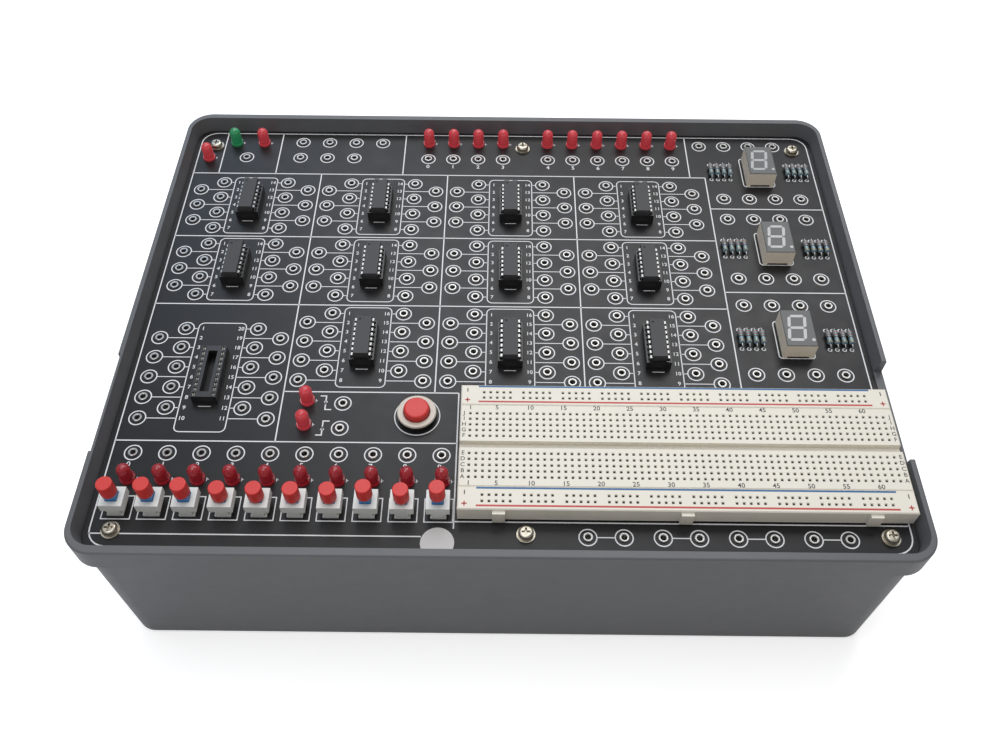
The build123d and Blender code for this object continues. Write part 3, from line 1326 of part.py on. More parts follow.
SUPPLY_TOP = STANDOFF_TOP + SUPPLY_BOARD_THICKNESS
sink_rear = SUPPLY_BOARD_Y + SUPPLY_BOARD_DEPTH / 2
sink_face = sink_rear - HEATSINK_FIN - HEATSINK_BASE
supply_plane = table_plane.offset(SUPPLY_TOP)
regulator_x = [SUPPLY_BOARD_X + (k - (REGULATORS - 1) / 2) * REGULATOR_STEP for k in range(REGULATORS)]
tab_y = sink_face - REGULATOR_TAB / 2
regulator_y = sink_face - REGULATOR_TAB - REGULATOR_THICKNESS / 2
leg_points = [(x + step * REGULATOR_LEG_PITCH, regulator_y) for x in regulator_x for step in (-1, 0, 1)]
capacitor_points = [
    (SUPPLY_BOARD_X + (k - (CAPACITORS - 1) / 2) * CAPACITOR_STEP, SUPPLY_BOARD_Y - CAPACITOR_STEP / 2)
    for k in range(CAPACITORS)
]
panel_wire_points = [
    (CHIP_FIELD_X, SUPPLY_BOARD_Y - SUPPLY_BOARD_DEPTH / 2 + (k + 1) * 3 * PIN_PITCH)
    for k in range(REGULATORS)
]

with BuildPart() as supply_board:
    with BuildSketch(table_plane.offset(STANDOFF_TOP)):
        with Locations((SUPPLY_BOARD_X, SUPPLY_BOARD_Y)):
            Rectangle(SUPPLY_BOARD_WIDTH, SUPPLY_BOARD_DEPTH)
        with Locations(*standoff_points()):
            Circle(SCREW_HOLE_RADIUS, mode=Mode.SUBTRACT)
        with Locations(*leg_points):
            Circle(REGULATOR_LEG, mode=Mode.SUBTRACT)
    extrude(amount=SUPPLY_BOARD_THICKNESS)
supply_board.part.label = "supply_board"
export_step(supply_board.part, "parts/supply_board.step")

with BuildPart() as supply_capacitors:
    with BuildSketch(supply_plane):
        with Locations(*capacitor_points):
            Circle(CAPACITOR_RADIUS)
    extrude(amount=CAPACITOR_HEIGHT)
    fillet(supply_capacitors.edges().group_by(Axis.Z)[-1], RIM_EDGE)
supply_capacitors.part.label = "supply_capacitors"
export_step(supply_capacitors.part, "parts/supply_capacitors.step")

with BuildPart() as heat_sink:
    fin_pitch = (HEATSINK_WIDTH - HEATSINK_FIN_THICKNESS) / (HEATSINK_FINS - 1)
    with BuildSketch(supply_plane):
        with Locations((SUPPLY_BOARD_X, sink_face + HEATSINK_BASE / 2)):
            Rectangle(HEATSINK_WIDTH, HEATSINK_BASE)
        for k in range(HEATSINK_FINS):
            fin_x = SUPPLY_BOARD_X + (k - (HEATSINK_FINS - 1) / 2) * fin_pitch
            with Locations((fin_x, sink_rear - HEATSINK_FIN / 2)):
                Rectangle(HEATSINK_FIN_THICKNESS, HEATSINK_FIN)
    extrude(amount=HEATSINK_HEIGHT)
heat_sink.part.label = "heat_sink"
export_step(heat_sink.part, "parts/heat_sink.step")

with BuildPart() as regulator_bodies:
    with BuildSketch(supply_plane.offset(REGULATOR_LIFT)):
        with Locations(*[(x, regulator_y) for x in regulator_x]):
            Rectangle(REGULATOR_WIDTH, REGULATOR_THICKNESS)
    extrude(amount=REGULATOR_HEIGHT)
regulator_bodies.part.label = "regulator_bodies"
export_step(regulator_bodies.part, "parts/regulator_bodies.step")

with BuildPart() as regulator_tabs:
    # each regulator's cooling tab and its three legs
    with BuildSketch(supply_plane.offset(REGULATOR_LIFT)):
        with Locations(*[(x, tab_y) for x in regulator_x]):
            Rectangle(REGULATOR_WIDTH, REGULATOR_TAB)
    extrude(amount=REGULATOR_HEIGHT + REGULATOR_TAB_RISE)
    with BuildSketch(supply_plane.offset(REGULATOR_LIFT)):
        with Locations(*leg_points):
            Rectangle(REGULATOR_LEG, REGULATOR_LEG)
    extrude(amount=-(REGULATOR_LIFT + TAIL_LENGTH))
regulator_tabs.part.label = "regulator_tabs"
export_step(regulator_tabs.part, "parts/regulator_tabs.step")

with BuildPart() as inside_screws:
    for points, seat in (
        (standoff_points(), SUPPLY_TOP),
        (clamp_screw_points(), PAD_TOP + CLAMP_THICKNESS),
    ):
        with BuildSketch(table_plane.offset(seat)):
            with Locations(*points):
                Circle(SCREW_HEAD_RADIUS)
        extrude(amount=SCREW_HEAD_HEIGHT)
        with BuildSketch(table_plane.offset(seat)):
            with Locations(*points):
                Circle(SCREW_RADIUS)
        extrude(amount=-INSIDE_SCREW_LENGTH)
        with BuildSketch(table_plane.offset(seat + SCREW_HEAD_HEIGHT)):
            with Locations(*points):
                Rectangle(SCREW_RECESS_LENGTH, SCREW_RECESS_WIDTH)
                Rectangle(SCREW_RECESS_WIDTH, SCREW_RECESS_LENGTH)
        extrude(amount=-SCREW_RECESS_DEPTH, mode=Mode.SUBTRACT)
inside_screws.part.label = "inside_screws"
export_step(inside_screws.part, "parts/inside_screws.step")

# ---------------------------------------------------------------- wires inside


def wire(points, bend):
    """A round wire along straight runs with tangent arcs."""
    path = FilletPolyline(*points, radius=bend) if len(points) > 2 else Line(*points)
    profile = Plane(path @ 0, z_dir=path % 0) * Circle(WIRE_RADIUS)
    return sweep(profile, path=path)


tab_end = REAR_SEAT - ROCKER_BODY_DEPTH - ROCKER_TAB_LENGTH
blade_end = REAR_SEAT - INLET_DEPTH - BLADE_TAB
coil_rear = TRAY_Y + CORE_Y + CORE_STACK / 2 + COIL_GAP + COIL_BUILD
coil_front = TRAY_Y + CORE_Y - CORE_STACK / 2 - COIL_GAP - COIL_BUILD
live_x = blade_places[0][0]
neutral_x = blade_places[2][0]
blade_z = blade_places[0][1]
upper_tab_z = ROCKER_Z + PULSER_TAB_SPACING / 2
lower_tab_z = ROCKER_Z - PULSER_TAB_SPACING / 2
wire_solids = [
    wire(
        [
            (live_x, blade_end, blade_z),
            (live_x, blade_end - WIRE_TURN, blade_z),
            (ROCKER_X, tab_end - WIRE_TURN, upper_tab_z),
            (ROCKER_X, tab_end, upper_tab_z),
        ],
        WIRE_BEND,
    ),
    wire(
        [
            (ROCKER_X, tab_end, lower_tab_z),
            (ROCKER_X, tab_end - WIRE_TURN, lower_tab_z),
            (CORE_X, coil_rear + WIRE_TURN, lower_tab_z),
            (CORE_X, coil_rear, lower_tab_z),
        ],
        WIRE_BEND,
    ),
    wire([(neutral_x, blade_end, blade_z), (neutral_x, coil_rear, blade_z)], WIRE_BEND),
    wire(
        [
            (CORE_X - CORE_LIMB, coil_front, blade_z),
            (CORE_X - CORE_LIMB, coil_front - WIRE_TURN, blade_z),
            (SUPPLY_BOARD_X + SUPPLY_BOARD_WIDTH / 2 - 2 * STANDOFF_INSET, coil_front - WIRE_TURN, blade_z),
            (SUPPLY_BOARD_X + SUPPLY_BOARD_WIDTH / 2 - 2 * STANDOFF_INSET, coil_front - WIRE_TURN, SUPPLY_TOP),
        ],
        WIRE_BEND,
    ),
]
for x, y in panel_wire_points:
    wire_solids.append(wire([(x, TRAY_Y + y, SUPPLY_TOP), (x, TRAY_Y + y, BOARD_BOTTOM)], WIRE_BEND))
write_group(Compound(children=wire_solids), "inside_wires")
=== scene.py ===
# %% [markdown]
# # Dressing a digital logic trainer
# A logic trainer is a classroom box for first circuits: chips in sockets, patch sockets that
# take plugs, lamps, digit displays, push switches and a breadboard, all on one black board
# that closes a grey tray. This lesson takes its imported CAD model and gives it the looks of
# the real thing. Everything is in metres, in the frame of the CAD model.
#
# The model is opened first.

# %% Open the model
import bpy
import json
from math import cos, pi, sin
from mathutils import Matrix, Vector


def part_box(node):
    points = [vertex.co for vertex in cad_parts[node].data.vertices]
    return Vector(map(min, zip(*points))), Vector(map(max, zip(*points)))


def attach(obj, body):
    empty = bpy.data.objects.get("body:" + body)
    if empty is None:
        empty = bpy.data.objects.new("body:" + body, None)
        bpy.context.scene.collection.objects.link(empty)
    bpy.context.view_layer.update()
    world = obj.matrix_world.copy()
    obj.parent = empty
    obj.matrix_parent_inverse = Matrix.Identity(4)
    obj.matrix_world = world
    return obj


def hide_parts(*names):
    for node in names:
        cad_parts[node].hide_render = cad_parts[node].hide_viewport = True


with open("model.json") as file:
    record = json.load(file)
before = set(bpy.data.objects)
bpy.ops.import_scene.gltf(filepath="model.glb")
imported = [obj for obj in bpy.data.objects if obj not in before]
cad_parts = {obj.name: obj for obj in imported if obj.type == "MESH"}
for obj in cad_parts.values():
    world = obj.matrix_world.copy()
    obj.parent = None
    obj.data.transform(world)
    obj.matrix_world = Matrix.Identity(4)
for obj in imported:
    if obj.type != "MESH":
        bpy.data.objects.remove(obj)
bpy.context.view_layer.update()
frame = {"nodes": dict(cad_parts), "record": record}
nodes = frame["nodes"]
print("nodes in the model:", len(nodes))

# %% [markdown]
# ## A small language for materials
# A finish is a net of nodes. It could be drawn by hand in the shader editor, or built link by
# link in code, but both are hard to read back. So each output socket is wrapped in a class
# that understands arithmetic: `0.3 + cloud * 0.2` makes two Math nodes and their links.

# %% Sockets with operators
class Sock:
    """An output socket that understands arithmetic."""

    def __init__(self, mat, socket):
        self.mat = mat
        self.socket = socket

    def math(self, kind, *others, flip=False):
        values = [self, *others]
        if flip:
            values.reverse()
        return self.mat.node("Math", operation=kind, inputs=dict(enumerate(values)))

    def __add__(self, other):
        return self.math("ADD", other)

    def __radd__(self, other):
        return self.math("ADD", other, flip=True)

    def __sub__(self, other):
        return self.math("SUBTRACT", other)

    def __rsub__(self, other):
        return self.math("SUBTRACT", other, flip=True)

    def __mul__(self, other):
        return self.math("MULTIPLY", other)

    def __rmul__(self, other):
        return self.math("MULTIPLY", other, flip=True)

    def __truediv__(self, other):
        return self.math("DIVIDE", other)

    def __rtruediv__(self, other):
        return self.math("DIVIDE", other, flip=True)

    def __gt__(self, other):
        return self.math("GREATER_THAN", other)

    def __lt__(self, other):
        return self.math("LESS_THAN", other)

    def clamp(self):
        return self.mat.node("Clamp", inputs={"Value": self})


print("sockets understand arithmetic")

# %% [markdown]
# ## One maker for every node
# `mat.node(...)` makes a node of any kind, sets its options and feeds its inputs with numbers,
# colours or other sockets. The shorter methods under it are the few nodes that come back in
# nearly every finish: object coordinates, noise, a mix of two colours and a bump.

# %% Materials
class Material:
    """A node material with one method that makes any node."""

    def __init__(self, name):
        self.data = bpy.data.materials.new(name)
        self.data.use_nodes = True
        self.tree = self.data.node_tree
        self.shader = self.tree.nodes["Principled BSDF"]

    def node(self, kind, output=0, inputs=None, **settings):
        made = self.tree.nodes.new("ShaderNode" + kind)
        for key, value in settings.items():
            setattr(made, key, value)
        for key, value in (inputs or {}).items():
            self.feed(made.inputs[key], value)
        return Sock(self, made.outputs[output])

    def feed(self, target, value):
        """Link a socket, or set a constant; a colour of three numbers gets its fourth."""
        if isinstance(value, Sock):
            self.tree.links.new(value.socket, target)
        elif isinstance(value, tuple) and len(value) == 3 and len(target.default_value) == 4:
            target.default_value = (*value, 1.0)
        else:
            target.default_value = value

    def place(self):
        return self.node("TexCoord", output="Object")

    def facing(self):
        """How much the surface faces up: 1 on a level top, 0 on a wall."""
        normal = self.node("NewGeometry", output="True Normal")
        return self.node("SeparateXYZ", output="Z", inputs={0: normal})

    def noise(self, scale, detail):
        return self.node("TexNoise", inputs={"Vector": self.place(), "Scale": scale, "Detail": detail})

    def mix(self, factor, a, b):
        """Colour a where the factor is 0, colour b where it is 1."""
        made = self.tree.nodes.new("ShaderNodeMix")
        made.data_type = "RGBA"
        self.feed(made.inputs[0], factor)
        self.feed(made.inputs[6], a)
        self.feed(made.inputs[7], b)
        return Sock(self, made.outputs[2])

    def bump(self, height, strength, distance):
        return self.node("Bump", inputs={"Height": height, "Strength": strength, "Distance": distance})

    def set(self, **values):
        """Feed inputs of the main shader; an underscore in a name stands for a space."""
        for key, value in values.items():
            self.feed(self.shader.inputs[key.replace("_", " ")], value)


print("one method makes any node")

# %% [markdown]
# ## Plastics and metals
# Nearly every piece is moulded plastic or plated metal. One flat colour would look like paper,
# and an image would have to be unwrapped onto hundreds of solids. Noise in object space needs
# no unwrapping: slow noise clouds the colour, faster noise changes the gloss, and the fastest
# makes the grain, through a bump.

# %% Makers of plastic and metal
CLOUD_SCALE = 35.0
WEAR_SCALE = 180.0
SPOT_SCALE = 900.0
SCRATCH_SCALE = 2600.0
SCRATCH_DEPTH = 0.00001


def shade(color, amount):
    """The colour made lighter or darker by this factor."""
    return tuple(min(1.0, c * amount) for c in color)


def moulded(name, color, rough=0.45, grain=2500.0, depth=0.00002, vary=0.08, coat=0.0):
    """Moulded plastic: faint clouds of colour, a fine grain and uneven gloss."""
    mat = Material(name)
    cloud = mat.noise(CLOUD_SCALE, 4.0)
    worn = mat.noise(WEAR_SCALE, 5.0)
    mat.set(
        Base_Color=mat.mix(cloud, shade(color, 1.0 - vary), shade(color, 1.0 + vary)),
        Roughness=rough + (worn - 0.5) * 0.14,
        Normal=mat.bump(mat.noise(grain, 2.0), 0.35, depth),
        Coat_Weight=coat,
    )
    return mat.data


def plated(name, color, rough=0.22, metal=1.0):
    """Plated metal with fine scratches and dull spots."""
    mat = Material(name)
    spots = mat.noise(SPOT_SCALE, 4.0)
    mat.set(
        Base_Color=mat.mix(spots, shade(color, 0.82), color),
        Metallic=metal,
        Roughness=rough + spots * 0.18,
        Normal=mat.bump(mat.noise(SCRATCH_SCALE, 2.0), 0.25, SCRATCH_DEPTH),
    )
    return mat.data


print("plastic and metal ready")

# %% [markdown]
# ## The lamps' lenses
# A lamp is a drop of tinted epoxy over thin metal. As pure glass it would show mostly the
# black board behind it, while a real one looks filled with colour, because the epoxy scatters
# light. So the lens is part glass and part scattering, with a faint painted glow of its own
# colour that lifts its shade.
# The ten lamps at the switches have a darker tint than the others. One finish serves both
# kinds, and tells them apart by where they stand.

# %% Lens
FRONT_LAMPS_Y = -0.075


def clear_lens(name, color, glow, front_color=None):
    """Tinted clear epoxy with a painted glow that lifts its shade, and a colour of its own for the lamps
    near the front.
    """
    mat = Material(name)
    cloud = mat.noise(700.0, 2.0)
    along = mat.node("SeparateXYZ", output="Y", inputs={0: mat.place()})
    tint = mat.mix(along > FRONT_LAMPS_Y, front_color or color, color)
    mat.set(
        Base_Color=mat.mix(cloud, tint, shade(color, 0.8)),
        Roughness=0.08 + cloud * 0.1,
        Transmission_Weight=0.45,
        IOR=1.52,
        Subsurface_Weight=0.25,
        Subsurface_Radius=(0.002, 0.0006, 0.0004),
        Normal=mat.bump(mat.noise(500.0, 2.0), 0.1, 0.00002),
        # Painted light: a faint glow in the lens's own tint lifts its shade.
        Emission_Color=tint,
        Emission_Strength=glow,
    )
    return mat.data


print("lens ready")

# %% [markdown]
# ## Four finishes with a rule of their own
# The board is black solder mask over copper, so it is glossy with a faint weave. A display is
# beige plastic with a grey painted face, a patch socket is turned metal with a painted
# highlight on its bevel and painted shade on the walls of its bore, and a chip is epoxy that
# is smoother on top. Such a difference could be made with a second material slot, but it
# follows the slope of the surface, so the slope chooses the colour.

# %% Special finishes
def board_finish():
    """Black solder mask: glossy, with a faint weave that shows in the reflections."""
    mat = Material("black_board")
    weave = mat.node("TexWave", inputs={"Vector": mat.place(), "Scale": 420.0, "Distortion": 1.5})
    cloud = mat.noise(22.0, 5.0)
    mat.set(
        Base_Color=mat.mix(cloud, (0.007, 0.007, 0.008), (0.015, 0.015, 0.016)),
        Roughness=0.28 + mat.noise(140.0, 5.0) * 0.18,
        Normal=mat.bump(weave + mat.noise(900.0, 3.0), 0.12, 0.00002),
        IOR=1.36,
    )
    return mat.data


def display_finish():
    """Grey painted face over a beige moulded body."""
    mat = Material("display_face")
    upward = mat.facing() > 0.7
    cloud = mat.noise(260.0, 4.0)
    face = mat.mix(cloud, (0.085, 0.09, 0.088), (0.12, 0.125, 0.122))
    side = mat.mix(cloud, (0.70, 0.62, 0.50), (0.78, 0.70, 0.58))
    mat.set(
        Base_Color=mat.mix(upward, side, face),
        Roughness=0.35 + cloud * 0.2,
        Normal=mat.bump(mat.noise(1800.0, 2.0), 0.2, 0.00002),
    )
    return mat.data


def socket_finish():
    """Turned patch sockets: a bevelled edge with a painted highlight around duller metal, and painted shade
    on the walls of the bore.
    """
    mat = Material("socket_metal")
    height = mat.facing()
    # Painted highlight: the sloped bevel gets a bright colour, as if it caught the light. The level top
    # keeps the duller spotted metal, and the walls of the bore get the same dark colour as painted shade.
    bevel_highlight_band = (height > 0.3) * (height < 0.95)
    spots = mat.noise(1200.0, 3.0)
    dull_metal_and_shade = mat.mix(spots, (0.38, 0.38, 0.37), (0.56, 0.55, 0.53))
    mat.set(
        Base_Color=mat.mix(bevel_highlight_band, dull_metal_and_shade, (0.86, 0.85, 0.83)),
        Metallic=0.9,
        Roughness=0.24 + spots * 0.14,
        Normal=mat.bump(mat.noise(SCRATCH_SCALE, 2.0), 0.2, SCRATCH_DEPTH),
    )
    return mat.data


def chip_finish():
    """Dark moulded epoxy, finely matt on the flanks and smoother on top."""
    mat = Material("chip_epoxy")
    cloud = mat.noise(300.0, 5.0)
    mat.set(
        Base_Color=mat.mix(cloud, (0.022, 0.022, 0.024), (0.042, 0.042, 0.044)),
        Roughness=0.62 - mat.facing() * 0.12 + cloud * 0.1,
        Normal=mat.bump(mat.noise(3500.0, 3.0), 0.5, 0.00003),
    )
    return mat.data


print("special finishes ready")

# %% [markdown]
# ## All finishes, by name
# The record of the part names one finish for each node, so a table from name to material is
# enough, and a loop hands them out. The inside of the tray gets its finishes too, though the
# board hides it: whoever opens the case finds a transformer, a green board and wires.

# %% Finishes
finishes = {
    "black_board": board_finish(),
    "display_grey": display_finish(),
    "socket_metal": socket_finish(),
    "chip_epoxy": chip_finish(),
    # The third number of each lens is the strength of its painted glow.
    "red_lens": clear_lens("red_lens", (0.74, 0.08, 0.10), 0.16, (0.30, 0.008, 0.016)),
    "green_lens": clear_lens("green_lens", (0.04, 0.36, 0.15), 0.14),
}
plastics = {
    "grey_abs": dict(color=(0.104, 0.107, 0.113), rough=0.42, grain=3200.0, depth=0.00003, vary=0.06),
    "black_plastic": dict(color=(0.016, 0.016, 0.017), rough=0.38),
    "segment_white": dict(color=(0.40, 0.41, 0.41), rough=0.3, vary=0.05, coat=0.2),
    "resistor_blue": dict(color=(0.18, 0.28, 0.32), rough=0.3, vary=0.12, coat=0.3),
    "ivory_plastic": dict(color=(0.74, 0.70, 0.61), vary=0.03),
    "foam_pad": dict(color=(0.60, 0.57, 0.48), rough=0.8, grain=6000.0, depth=0.0001),
    "white_plastic": dict(color=(0.71, 0.72, 0.69), vary=0.03),
    "cream_plastic": dict(color=(0.52, 0.47, 0.40), rough=0.32, vary=0.06, coat=0.2),
    "paper": dict(color=(0.60, 0.58, 0.57), rough=0.7, grain=5000.0, depth=0.00004, vary=0.03),
    "coil_tape": dict(color=(0.62, 0.46, 0.07), rough=0.35),
    "green_board": dict(color=(0.02, 0.16, 0.05), rough=0.3, coat=0.3),
    "capacitor_sleeve": dict(color=(0.015, 0.02, 0.09), rough=0.25, coat=0.4),
    "wire_sleeve": dict(color=(0.45, 0.02, 0.02), rough=0.35),
    "red_plastic": dict(color=(0.60, 0.030, 0.026), vary=0.07),
    "blue_plastic": dict(color=(0.012, 0.16, 0.42), rough=0.35),
    "print_white": dict(color=(0.72, 0.72, 0.73), rough=0.5, grain=5000.0, vary=0.10),
    "print_black": dict(color=(0.03, 0.03, 0.03), rough=0.5),
    "line_red": dict(color=(0.50, 0.06, 0.05), rough=0.5),
    "line_blue": dict(color=(0.02, 0.12, 0.29), rough=0.5),
    "band_orange": dict(color=(0.26, 0.09, 0.04), rough=0.35),
    "band_brown": dict(color=(0.05, 0.03, 0.025), rough=0.35),
    # Painted shade: this near-black paints the shade on the floors of the breadboard holes and in the
    # chips' dimples.
    "dark_hollow": dict(color=(0.006, 0.006, 0.006), rough=0.8),
}
metals = {
    "nickel": dict(color=(0.52, 0.48, 0.40), rough=0.26),
    "tinned": dict(color=(0.44, 0.44, 0.43), rough=0.32),
    "core_steel": dict(color=(0.20, 0.20, 0.21), rough=0.5, metal=0.8),
    "bare_aluminium": dict(color=(0.70, 0.71, 0.72), rough=0.35),
    "band_gold": dict(color=(0.34, 0.25, 0.12), rough=0.4),
}
for name, looks in plastics.items():
    finishes[name] = moulded(name, **looks)
for name, looks in metals.items():
    finishes[name] = plated(name, **looks)
for part in frame["record"]["subparts"]:
    piece = nodes[part["node"]]
    piece.data.materials.clear()
    piece.data.materials.append(finishes[part["material_slot"]])
print("finishes:", len(finishes))

# %% [markdown]
# ## A collector for thin shapes
# The white print is a film of ink. It could be an image on the board, but an image is only as
# sharp as its pixels, and the lines here are thinner than half a millimetre. So each line is a
# ribbon of real faces just above the board. One object per line would make thousands, so a
# collector gathers corners and faces in millimetres, from the middle of the board's upper
# face, and turns them into one mesh at the end.

# %% A mesh collector
board_low, board_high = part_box("main_board")
panel_x = (board_low[0] + board_high[0]) / 2
panel_y = (board_low[1] + board_high[1]) / 2
panel_z = board_high[2]
PRINT_LIFT = 0.02
SHARPEST_MITRE = 0.4


def level(x0, y0, x1, y1, z):
    """The four corners of a level rectangle, turning left."""
    return [(x0, y0, z), (x1, y0, z), (x1, y1, z), (x0, y1, z)]


def circle(x, y, radius, z, sides):
    """The corners of a level circle, turning left."""
    turn = [2 * pi * k / sides for k in range(sides)]
    return [(x + radius * cos(t), y + radius * sin(t), z) for t in turn]


def between(sides, start=0):
    """The faces between a loop of corners and the loop that follows it."""
    following = [(k + 1) % sides for k in range(sides)]
    return [(start + k, start + n, start + n + sides, start + k + sides) for k, n in enumerate(following)]


class Shape:
    """Collects faces in panel millimetres."""

    def __init__(self):
        self.corners = []
        self.faces = []

    def add(self, corners, faces):
        start = len(self.corners)
        self.corners += corners
        self.faces += [tuple(start + k for k in face) for face in faces]

    def quad(self, a, b, c, d):
        self.add([a, b, c, d], [(0, 1, 2, 3)])

    def rect(self, x0, y0, x1, y1, z):
        self.add(level(x0, y0, x1, y1, z), [(0, 1, 2, 3)])

    def block(self, x0, y0, z0, x1, y1, z1):
        corners = level(x0, y0, x1, y1, z0) + level(x0, y0, x1, y1, z1)
        self.add(corners, [(3, 2, 1, 0), (4, 5, 6, 7)] + between(4))

    def ring(self, x, y, inner, outer, sides=36):
        corners = circle(x, y, outer, PRINT_LIFT, sides) + circle(x, y, inner, PRINT_LIFT, sides)
        self.add(corners, between(sides))

    def disc(self, x, y, radius, z, sides=24):
        self.add(circle(x, y, radius, z, sides), [tuple(range(sides))])

    def path(self, points, width, closed=False):
        """A ribbon along points, with mitred corners."""
        count = len(points)
        left = []
        right = []
        for k, point in enumerate(points):
            here = Vector(point)
            back = Vector(points[k - 1]) if closed or k else None
            ahead = Vector(points[(k + 1) % count]) if closed or k < count - 1 else None
            before = (here - back).normalized() if back is not None else (ahead - here).normalized()
            after = (ahead - here).normalized() if ahead is not None else before
            along = (before + after).normalized()
            across = Vector((-along.y, along.x))
            reach = width / 2 / max(SHARPEST_MITRE, across.dot(Vector((-before.y, before.x))))
            left.append((here.x + across.x * reach, here.y + across.y * reach, PRINT_LIFT))
            right.append((here.x - across.x * reach, here.y - across.y * reach, PRINT_LIFT))
        last = count if closed else count - 1
        faces = [(k, k + count, (k + 1) % count + count, (k + 1) % count) for k in range(last)]
        self.add(left + right, faces)

    def finish(self, name, finish, smooth=False):
        """Make the mesh, give it its finish and let it ride on the case."""
        mesh = bpy.data.meshes.new(name)
        corners = [(panel_x + x / 1000, panel_y + y / 1000, panel_z + z / 1000) for x, y, z in self.corners]
        mesh.from_pydata(corners, [], self.faces)
        mesh.materials.append(finishes[finish])
        for face in mesh.polygons:
            face.use_smooth = smooth
        piece = bpy.data.objects.new(name, mesh)
        bpy.context.scene.collection.objects.link(piece)
        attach(piece, "base")
        return piece


print("board's upper face at", round(panel_z * 1000, 2), "mm")

# %% [markdown]
# ## Round corners and plain figures
# Printed frames have round corners, so a helper gives the outline of such a rectangle. The
# figures beside the sockets come from Blender's own font: a text curve is turned into a mesh
# once for each text, kept, and then copied to wherever it is printed.

# %% Outlines and figures
CORNER_STEPS = 6
CAPITAL_HEIGHT = 0.7
BOLD = 0.012


def rounded(x0, y0, x1, y1, radius):
    """The outline of a rectangle with round corners."""
    points = []
    corners = ((x1 - radius, y1 - radius), (x0 + radius, y1 - radius),
               (x0 + radius, y0 + radius), (x1 - radius, y0 + radius))
    for quarter, (cx, cy) in enumerate(corners):
        for k in range(CORNER_STEPS + 1):
            t = (quarter + k / CORNER_STEPS) * pi / 2
            points.append((cx + radius * cos(t), cy + radius * sin(t)))
    return points


glyphs = {}


def glyph(text):
    """Corners and faces of plain figures in the font's own units, centred on the origin."""
    if text not in glyphs:
        curve = bpy.data.curves.new("figure", "FONT")
        curve.body = text
        curve.align_x = "CENTER"
        curve.align_y = "CENTER"
        curve.resolution_u = 3
        curve.offset = BOLD
        maker = bpy.data.objects.new("figure", curve)
        mesh = maker.to_mesh()
        glyphs[text] = ([tuple(v.co) for v in mesh.vertices], [tuple(p.vertices) for p in mesh.polygons])
        maker.to_mesh_clear()
        bpy.data.objects.remove(maker)
        bpy.data.curves.remove(curve)
    return glyphs[text]


def write(shape, text, x, y, height, z=PRINT_LIFT):
    """Plain figures, this high, on a level surface."""
    corners, faces = glyph(text)
    size = height / CAPITAL_HEIGHT
    shape.add([(x + size * px, y + size * py, z) for px, py, pz in corners], faces)


print("height of a figure 1:", round(max(c[1] for c in glyph("1")[0]) * 2, 2), "units")

# %% [markdown]
# ## Where things are on the panel
# The maker of such a panel draws it on a metric grid: chips stand 60 and 40 mm apart, and
# each pin has its patch socket in a row 5 mm from the next, by turns near and far. Loops can
# say nearly all of it, so a place is written once and used for its ring, its line, its figure
# and its contacts.

# %% Layout
PIN_STEP = 5.0
NEAR_PATCH = 15.0
FAR_PATCH = 25.0
PROBE_PATCH = (-124.2, 94.6)
PULSER = (-33.0, -55.1)
PULSER_PATCHES = [(-62.6, -49.4), (-62.6, -61.1)]
OUTPUT_PATCH_Y = 94.6
REAR_PATCH_Y = 105.7
INPUT_PATCH_Y = -73.0
SUPPLY_Y = -106.7
SUPPLY_GAP = 13.0
DISPLAY_Y = (87.1, 36.9, -15.0)
DISPLAY_PATCH_Y = (68.9, 55.5, 18.9, 3.5, -33.2)


def series(first, step, count):
    """Places in one direction, one step apart."""
    return [first + step * k for k in range(count)]


def patch_reach(row):
    """How far this row's patch sockets stand from the middle of their chip."""
    return NEAR_PATCH if row % 2 == 0 else FAR_PATCH


# Each chip place: its middle, its first row, its pins on one side, and how much lower than
# the middle of its rows the socket stands.
chips = []
for column, x in enumerate(series(-116.8, 60.0, 4)):
    chips.append((x, 76.8, 7, 0.0))
    chips.append((x, 36.8, 7, 0.0))
    if column:
        chips.append((x, -3.2, 8, 0.0))
chips.append((-116.8, -12.2, 10, 2.5))
inputs_x = series(-139.7, 13.0, 10)
outputs_x = series(-36.5, 12.0, 4) + series(21.1, 12.0, 6)
supply_x = series(31.25, 27.0, 4)
clock_x = series(-98.3, 13.0, 4)
patches = [PROBE_PATCH] + PULSER_PATCHES
patches += [(x, REAR_PATCH_Y) for x in clock_x]
patches += [(x, OUTPUT_PATCH_Y) for x in clock_x[:3] + outputs_x]
patches += [(x, REAR_PATCH_Y) for x in series(95.3, 12.0, 4)]
patches += [(x, y) for x in series(102.8, 12.0, 4) for y in DISPLAY_PATCH_Y]
patches += [(x, INPUT_PATCH_Y) for x in inputs_x]
patches += [(x + gap, SUPPLY_Y) for x in supply_x for gap in (0.0, SUPPLY_GAP)]
for cx, first_y, pins, drop in chips:
    for row in range(pins):
        patches += [(cx + side * patch_reach(row), first_y - PIN_STEP * row) for side in (-1, 1)]
lamps = [(-142.1, 94.0), (-130.5, 105.0), (-117.1, 105.0), (-76.6, -48.2), (-76.6, -59.5)]
lamps += [(x, REAR_PATCH_Y) for x in outputs_x]
lamps += [(x + 0.8, -84.3) for x in inputs_x]
print("patch sockets:", len(patches), "lamps:", len(lamps))

# %% [markdown]
# ## The printed fields
# One frame with round corners runs around the panel, and straight lines part it into fields:
# one for each chip, one for each display, one for the switches. They are single ribbons from
# end to end, as a screen printer would draw them.

